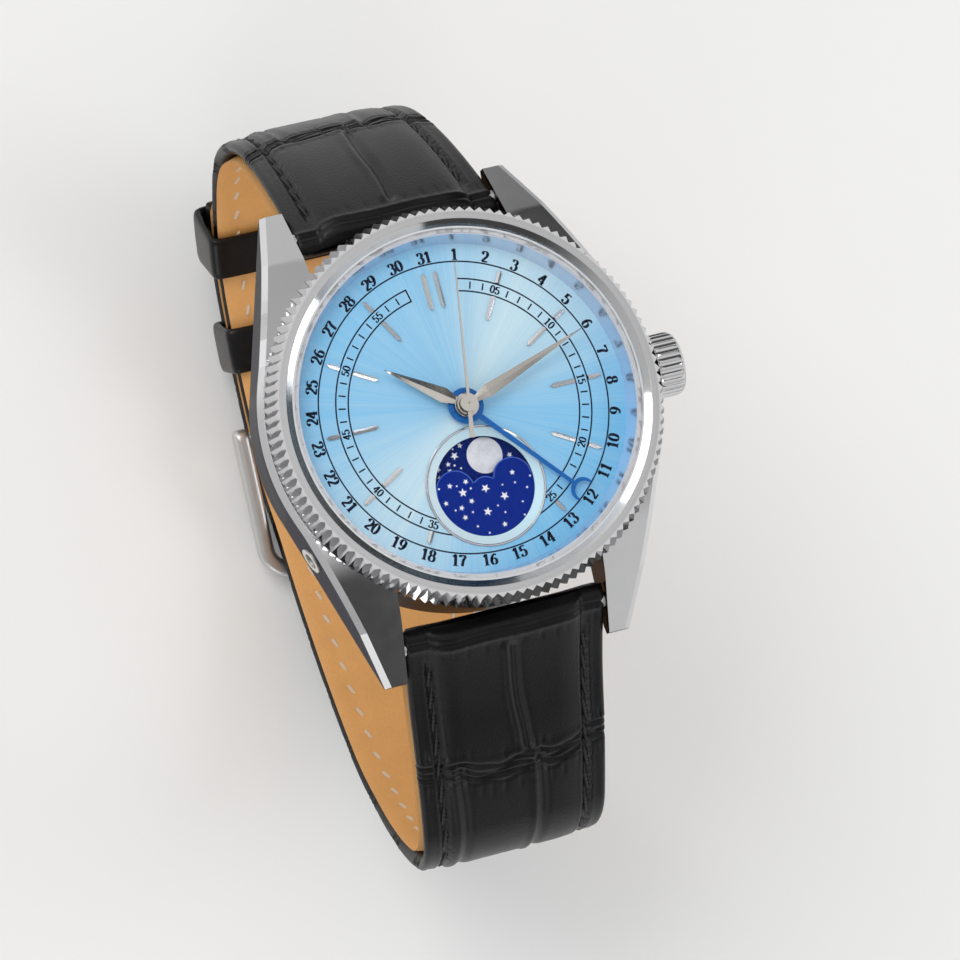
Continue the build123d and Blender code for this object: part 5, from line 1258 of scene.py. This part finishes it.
# Rows of scales from each lug: (end from the bar in mm, bow in mm, grooves along it as (x in mm,
# lean, depth in mm)), and the creases of the band between two rows: (offset, depth, width in mm)
BAND_CREASES = ((-0.72, 0.27, 0.18), (0.0, 0.20, 0.19), (0.66, 0.32, 0.2), (1.3, 0.1, 0.18))
SCALE_ROWS = {
    "long": (
        (15.4, 1.5, ((0.25, 0.075, 0.40),)),
        (31.0, 1.2, ((-5.7, 0.02, 0.26), (2.9, -0.03, 0.30))),
        (39.2, 0.9, ((-3.4, 0.0, 0.26), (4.6, 0.03, 0.26))),
        (46.8, 1.2, ((-5.6, 0.02, 0.24), (1.2, -0.04, 0.26))),
        (54.0, 0.8, ((-2.6, 0.0, 0.24), (4.3, 0.0, 0.24))),
        (61.0, 1.0, ((-4.9, 0.0, 0.24), (1.6, 0.03, 0.24))),
        (68.0, 0.8, ((-2.2, 0.0, 0.22), (4.2, 0.0, 0.22))),
        (75.0, 1.0, ((-4.4, 0.0, 0.22), (1.5, 0.0, 0.22))),
        (82.0, 0.8, ((-1.8, 0.0, 0.22), (4.0, 0.0, 0.22))),
        (89.0, 1.0, ((-4.2, 0.0, 0.22), (1.3, 0.0, 0.22))),
        (96.0, 0.8, ((-1.7, 0.0, 0.20), (3.8, 0.0, 0.20))),
        (103.0, 1.0, ((-3.9, 0.0, 0.20), (1.4, 0.0, 0.20))),
    ),
    "short": (
        (17.4, 1.2, ((0.35, 0.03, 0.40),)),
        (27.6, 1.2, ((-5.2, -0.02, 0.28), (3.4, 0.03, 0.28))),
        (36.0, 0.9, ((-2.9, 0.0, 0.26), (4.8, 0.0, 0.26))),
        (43.8, 1.1, ((-5.0, 0.0, 0.24), (1.4, 0.0, 0.24))),
        (51.0, 0.8, ((-2.3, 0.0, 0.24), (4.2, 0.0, 0.24))),
        (58.0, 1.0, ((-4.4, 0.0, 0.22), (1.7, 0.0, 0.22))),
    ),
}


def signed_power(value, power):
    """A power of a value's size, with the value's sign."""
    return np.sign(value) * np.abs(value) ** power


def quarter_circle(share):
    """Height of a quarter circle at a share of its radius, held a little above 0 at its end."""
    return np.sqrt(1 - share**2 * 0.999)


def hill(value, width):
    """A bell curve, e to the minus square of a value over its width."""
    return np.exp(-((value / width) ** 2))


class StrapShape:
    """What the leather, the lining, the stitches and the keepers share of one half of the strap:
    its route, its widths and its heights."""

    def __init__(self, sizes, half):
        self.sizes, self.half = sizes, half
        self.route = dict(zip(("short", "long"), strap_routes(sizes)))[half]
        self.last = self.route[-1, 3]
        self.is_long = half == "long"

    def across(self, distance):
        """Stations at distances along the route, and half the strap's width there."""
        stations = station_at(self.route, distance)
        return stations, half_width(stations[..., 1], self.sizes)

    def place(self, stations, x, height):
        """Points of the strap: x to the side and a height out from the route."""
        out = out_from(stations, SIDES[self.half], height)
        return np.stack(np.broadcast_arrays(x, out[..., 0], out[..., 1]), -1)

    def outside(self, distance, x, wide):
        """Height of the leather's face over the lining's: padded middle, crinkled stitch
        channels, a fold behind the rolled end, and the pressed pattern of scales."""
        end = self.sizes.long_thickness if self.is_long else self.sizes.short_thickness
        held = np.maximum(distance, 0)
        middle = centre_thickness(held, end, self.sizes)
        pad = (middle - end) / (self.sizes.roll_radius * 2 - end)
        margin = middle - (0.28 + 0.62 * pad) * MM
        stitch = wide - self.sizes.stitch_margin
        inwards = np.clip((stitch - 0.35 * MM - np.abs(x)) / (2.6 * MM), 0, 1)
        height = margin + (middle - margin) * np.sqrt(1 - (1 - inwards) ** 2)
        begun = smooth_step(distance, 0.6 * MM, 3 * MM)
        s = distance / MM
        edge = (np.abs(x) - stitch) / MM + 0.07 * np.sin(s * 6.1) * np.sin(s * 1.7 + np.sign(x))
        height += (0.07 * hill(np.abs(edge) - 0.62, 0.2) - 0.24 * hill(edge, 0.38)) * MM * begun
        fold = s + 0.55 - 0.08 * np.sin(x / MM * 0.8)
        nicks = np.maximum(0, np.sin(x / MM * 4.3 + 1.2 * np.sin(x / MM * 1.1))) ** 6
        folded = 0.08 * hill(fold - 0.6, 0.3) - 0.2 * hill(fold, 0.24) - 0.1 * nicks * hill(s - 0.9, 0.7)
        return height + (folded - self.scales(s, x / MM)) * MM

    def scales(self, s, u):
        """Depth in mm of the pressed pattern at s mm along and u mm to the side: bowed bands of
        creases across, broad grooves with a raised lip along, and wrinkles into each band."""
        rng = np.random.default_rng(3 if self.is_long else 5)
        depth = np.zeros(np.broadcast(s, u).shape)
        previous = 1.0
        for place, bow_out, grooves in SCALE_ROWS[self.half]:
            phase = rng.uniform(0, 6.28, 5)
            gap = s - place - bow_out * (1 - (u / 10) ** 2) + 0.2 * np.sin(u * 0.9 + phase[0])
            gap = gap + 0.07 * np.sin(u * 2.3 + phase[1])
            for offset, amount, width in BAND_CREASES:
                wave = 0.16 * np.sin(u * (1.1 + 0.3 * offset) + phase[2] + offset * 3)
                depth += amount * hill(gap - offset - wave, width)
            depth -= 0.06 * hill(gap + 1.35, 0.4)
            wrinkle = np.maximum(0, np.sin(u * 4.9 + 1.5 * np.sin(u * 0.9 + phase[3]))) ** 5
            patchy = 0.5 + 0.5 * np.sin(u * 0.7 + phase[4])
            depth += wrinkle * (0.15 * patchy * hill(gap + 1.9, 0.6) + 0.08 * hill(gap - 2.2, 0.8))
            inside = smooth_step(s, previous - 0.4, previous + 1.0) * (1 - smooth_step(gap, -1.6, -0.5))
            for at, lean, amount in grooves:
                off = u - at - lean * (s - previous) - 0.12 * np.sin(s * 0.5 + phase[0])
                depth += amount * inside * (hill(off - 0.1, 0.42) - 0.5 * hill(off + 0.8, 0.34))
            previous = place
        return depth

    def ends(self, x):
        """Where a line of leather ends: a rounded tip on the tail, a notch for the tongue at the
        buckle."""
        if self.is_long:
            round_off = 6 * MM
            out = np.clip(np.abs(x) + round_off - self.sizes.buckle_half, 0, round_off)
            return self.last - round_off + np.sqrt(round_off**2 - out**2)
        notch = smooth_step(np.abs(x), 1.25 * MM, 1.45 * MM)
        return self.last + 2.75 * MM - (1 - notch) * 4.2 * MM


class WATCH_OT_leather(bpy.types.Operator):
    """Makes both black leather halves of the strap"""

    bl_idname = "watch.leather"
    bl_label = "Strap leather"

    def execute(self, context):
        sizes = context.scene.watch_strap
        black = leather_material("leather_finish", sizes.leather)
        for half, rows in (("short", 420), ("long", 640)):
            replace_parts(self.leather(StrapShape(sizes, half), rows, black), f"strap_{half}_leather")
        return {"FINISHED"}

    def leather(self, shape, rows, material):
        """A closed shell: a ring round the section, carried from the rolled end to the other. It
        thins to both ends along quarters of an ellipse, and its upper corners are rounded."""
        sizes, top_count, low_count, corner = shape.sizes, 112, 16, 0.55 * MM
        share = np.concatenate([np.linspace(-1, 1, top_count), np.linspace(1, -1, low_count + 2)[1:-1]])
        upper = np.arange(len(share)) < top_count
        u = np.sign(share) * (1 - (1 - np.abs(share)) ** 1.25)
        stop = shape.ends(sizes.strap_half * u)
        distance = np.linspace(-sizes.roll_radius, stop, rows)
        stations, wide = shape.across(distance)
        x = u * wide
        base = LINING_PART * smooth_step(distance, 0.5 * MM, 2.5 * MM)
        if not shape.is_long:
            base *= 1 - smooth_step(distance, shape.last - 1.2 * MM, shape.last - 0.2 * MM)
        half = np.maximum(shape.outside(distance, x, wide) - base, 0.3 * MM) / 2
        roll = np.clip(-distance / sizes.roll_radius, 0, 1)
        left = np.clip((stop - distance) / (0.9 * MM if shape.is_long else 1.2 * MM), 0, 1)
        squeeze = np.sqrt(np.maximum(1 - roll**2, 0)) * quarter_circle(1 - left)
        near = np.clip((np.abs(x) - wide) / corner + 1, 0, 1)
        rounding = corner * (1 - quarter_circle(near)) * 0.95
        inner = base + half * (1 - squeeze)
        outer = np.maximum(base + half * (1 + squeeze) - rounding, inner + 0.02 * MM)
        points = shape.place(stations, x, np.where(upper, outer, inner))
        node = f"strap_{shape.half}_leather"
        return put_mesh(f"{shape.half}_leather", points, tube_faces(*x.shape), node, material, 180)


class WATCH_OT_lining(bpy.types.Operator):
    """Makes the tan lining of both strap halves"""

    bl_idname = "watch.lining"
    bl_label = "Strap lining"

    def execute(self, context):
        sizes = context.scene.watch_strap
        tan = lining_material(sizes)
        for half, rows in (("short", 240), ("long", 420)):
            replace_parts(self.lining(StrapShape(sizes, half), rows, tan), f"strap_{half}_lining")
        return {"FINISHED"}

    def lining(self, shape, rows, material):
        """A thin closed band on the wrist side, its edges rounded, dented along its stitches."""
        sizes, low_count, first = shape.sizes, 40, 0.6 * MM
        share = np.concatenate([np.linspace(-1, 1, low_count), np.linspace(1, -1, 10)[1:-1]])
        lower = np.arange(len(share)) < low_count
        tip = shape.ends(share * sizes.buckle_half) - 0.05 * MM
        distance = np.linspace(first, np.where(shape.is_long, tip, shape.last - 0.4 * MM), rows)
        stations, wide = shape.across(distance)
        x = share * (wide - 0.04 * MM)
        dent = 0.12 * MM * hill(np.abs(x) - wide + sizes.stitch_margin, 0.4 * MM)
        near = np.clip((np.abs(x) - wide) / (0.35 * MM) + 1, 0, 1)
        edge = 0.3 * MM * (1 - quarter_circle(near))
        thinned = 0.25 * MM * (1 - smooth_step(distance, first, first + 2.0 * MM))
        points = shape.place(stations, x, np.where(lower, dent + edge + thinned, LINING_PART))
        node = f"strap_{shape.half}_lining"
        return put_mesh(f"{shape.half}_lining", points, tube_faces(*x.shape), node, material, 60)


class WATCH_OT_stitches(bpy.types.Operator):
    """Sews both faces of the strap with single stitches of twisted thread"""

    bl_idname = "watch.stitches"
    bl_label = "Stitches"

    def execute(self, context):
        sizes = context.scene.watch_strap
        black = thread_material("black_thread_finish", (0.016, 0.016, 0.018), 0.42)
        pale = thread_material("pale_thread_finish", sizes.thread)
        for half, clear in (("short", 1.5 * MM), ("long", 4.5 * MM)):
            shape = StrapShape(sizes, half)
            outer, inner = Batch(), Batch()
            stop = shape.last - clear - sizes.stitch_length
            for side in (1, -1):
                for begin in np.arange(3.0 * MM, stop, sizes.stitch_pitch):
                    self.stitch(outer, shape, begin, side, True)
                    self.stitch(inner, shape, begin + sizes.stitch_pitch / 2, side, False)
            outer.put(f"{half}_leather_stitches", f"strap_{half}_leather", black, 180)
            inner.put(f"{half}_lining_stitches", f"strap_{half}_lining", pale, 180)
        return {"FINISHED"}

    def stitch(self, batch, shape, begin, side, outside):
        """A thread tube that dips into the strap at both ends, with two strands' swell."""
        sizes, rows, columns = shape.sizes, 15, 8
        share = np.linspace(0, 1, rows)[:, None]
        spin = np.linspace(0, 2 * math.pi, columns, endpoint=False)
        twist = share * 10 * math.pi
        distance = begin + share * (sizes.stitch_length if outside else sizes.bead_length)
        stations, wide = shape.across(distance)
        x = side * (wide - sizes.stitch_margin)
        arch = np.sqrt(np.maximum(0, 1 - (2 * share - 1) ** 4))
        radius = sizes.thread_radius * (0.55 + 0.45 * arch) * (1 + 0.2 * np.cos(twist))
        lift = (arch * 0.75 - 0.65) * sizes.thread_radius
        level = shape.outside(distance, x, wide) + lift if outside else 0.12 * MM - lift
        slant = side * (share - 0.5) * 0.4 * MM + 0.05 * MM * np.sin(twist)
        around = x + slant + radius * np.cos(spin)
        batch.add_tube(shape.place(stations, around, level + radius * np.sin(spin)))


class WATCH_OT_keepers(bpy.types.Operator):
    """Makes the fixed and the loose keeper as leather bands with rounded edges"""

    bl_idname = "watch.keepers"
    bl_label = "Keepers"

    def execute(self, context):
        sizes = context.scene.watch_strap
        shape = StrapShape(sizes, "short")
        black = leather_material("keeper_finish", sizes.leather, 0.26, 4200.0, 0.00003)
        bend = sum(share for share, _ in SHORT_ARCS[:4]) + SHORT_ARCS[4][0] / 2
        for name, node, place, gap in (
            ("keeper_band_fixed", "fixed_keeper", shape.last - 8.0 * MM, 0.0),
            ("keeper_band_loose", "loose_keeper", bend * sizes.short_length, 0.3 * MM),
        ):
            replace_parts(self.band(shape, name, node, place, gap, black), node)
        return {"FINISHED"}

    def band(self, shape, name, node, place, gap, material):
        """A rounded rectangle round both halves, swept along the strap, its edges rolled over.
        Its section and its edges are superellipses."""
        sizes, rows, columns = shape.sizes, 24, 96
        low = -0.3 * MM
        high = sizes.short_thickness + TAIL_GAP + sizes.long_thickness + 0.3 * MM
        spin = np.linspace(0, 2 * math.pi, columns, endpoint=False) + math.pi / columns
        loop = np.linspace(0, 2 * math.pi, rows, endpoint=False)[:, None]
        thick = 0.45 * MM * (1 + signed_power(np.sin(loop), 0.7))
        x = signed_power(np.cos(spin), 0.16) * (sizes.buckle_half + gap + thick)
        height = (low + high) / 2 + signed_power(np.sin(spin), 0.16) * ((high - low) / 2 + thick)
        stations = station_at(shape.route, place + signed_power(np.cos(loop), 0.35) * 2.5 * MM)
        points = shape.place(stations, x, height)
        return put_mesh(name, points, grid_quads(rows, columns, True), node, material, 180)


class WATCH_OT_buckle(bpy.types.Operator):
    """Finishes the buckle frame and its tongue"""

    bl_idname = "watch.buckle"
    bl_label = "Buckle finishes"

    def execute(self, context):
        sizes = context.scene.watch_metal
        satin = grained("buckle_finish", (0.66, 0.655, 0.65), "y", 0.3, 5000.0, 0.000005, 0.05)
        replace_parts(self.loop(satin), "buckle_frame")
        dress(polished("tongue_finish", sizes.steel, 0.12), "buckle_tongue")
        return {"FINISHED"}

    def loop(self, material):
        """A rounded bar bent to a U: both arms from the buckle bar and the front bar across. Its
        section is a superellipse with a groove along the outer side."""
        low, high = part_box("buckle_frame")
        ring, front = 1.15 * MM, 0.95 * MM
        begin = np.array([high[1] - ring, high[2] - ring])
        end = np.array([low[1] + front, low[2] + front])
        reach = np.linalg.norm(end - begin)
        ahead = (end - begin) / reach
        lift = np.array([-ahead[1], ahead[0]])
        half_x, bend = high[0] - 0.5 * MM, 2.6 * MM
        straight = np.linspace(-ring * 0.98, reach - bend, 60)
        turn = np.linspace(0, math.pi / 2, 16)[1:-1]
        across = np.linspace(half_x - bend, 0, 24)
        x = np.concatenate([np.full(60, half_x), half_x - bend + bend * np.cos(turn), across])
        a = np.concatenate([straight, reach - bend + bend * np.sin(turn), np.full(24, reach)])
        x, a = np.concatenate([x, -x[-2::-1]]), np.concatenate([a, a[-2::-1]])
        share = smooth_step(a, reach * 0.2, reach)
        tall = ring + (front - ring) * share
        tall = np.minimum(tall, np.sqrt(np.maximum(ring**2 - np.minimum(a, 0) ** 2, 0)))
        thick = (0.9 + 0.05 * smooth_step(a, reach - 2 * bend, reach)) * MM
        thick *= np.sqrt(np.minimum(tall / front, 1))
        way = np.stack([np.gradient(x), np.gradient(a)], -1)
        way /= np.linalg.norm(way, axis=1)[:, None]
        out = np.stack([way[:, 1], -way[:, 0]], -1)
        angle = np.linspace(0, 2 * math.pi, 40, endpoint=False)
        cos, sin = np.cos(angle), np.sin(angle)
        side = signed_power(cos, 0.7) - 0.2 * (cos > 0) * hill(sin, 0.24)
        px = x[:, None] + out[:, :1] * side * thick[:, None]
        pa = a[:, None] + out[:, 1:] * side * thick[:, None]
        pn = signed_power(sin, 0.7) * tall[:, None]
        py, pz = (begin[k] + pa * ahead[k] + pn * lift[k] for k in range(2))
        points = np.stack([px, py, pz], -1)
        return put_mesh("buckle_loop", points, tube_faces(*px.shape), "buckle_frame", material, 60)


class WATCH_PT_panel(bpy.types.Panel):
    """Lists the watch's operators and sizes"""

    bl_label = "Moon phase watch"
    bl_idname = "WATCH_PT_panel"
    bl_space_type = "VIEW_3D"
    bl_region_type = "UI"
    bl_category = "Watch"

    def draw(self, context):
        for operator in OPERATORS:
            self.layout.operator(operator.bl_idname)
        for name in GROUPS:
            group = getattr(context.scene, name)
            box = self.layout.box()
            box.label(text=name.replace("_", " "))
            for key in group.__annotations__:
                box.prop(group, key)


GROUPS = {
    "watch_stage": WatchStage,
    "watch_metal": WatchMetal,
    "watch_dial": WatchDial,
    "watch_moon": WatchMoon,
    "watch_strap": WatchStrap,
}
OPERATORS = (
    WATCH_OT_stage,
    WATCH_OT_case,
    WATCH_OT_dial,
    WATCH_OT_print,
    WATCH_OT_stars,
    WATCH_OT_movement,
    WATCH_OT_leather,
    WATCH_OT_lining,
    WATCH_OT_stitches,
    WATCH_OT_keepers,
    WATCH_OT_buckle,
)


def register():
    for group in GROUPS.values():
        bpy.utils.register_class(group)
    for name, group in GROUPS.items():
        setattr(bpy.types.Scene, name, PointerProperty(type=group))
    for operator in OPERATORS:
        bpy.utils.register_class(operator)
    bpy.utils.register_class(WATCH_PT_panel)


def unregister():
    bpy.utils.unregister_class(WATCH_PT_panel)
    for operator in reversed(OPERATORS):
        bpy.utils.unregister_class(operator)
    for name, group in GROUPS.items():
        delattr(bpy.types.Scene, name)
        bpy.utils.unregister_class(group)


def main():
    register()
    for operator in OPERATORS:
        group, name = operator.bl_idname.split(".")
        getattr(getattr(bpy.ops, group), name)()


if __name__ == "__main__":
    main()
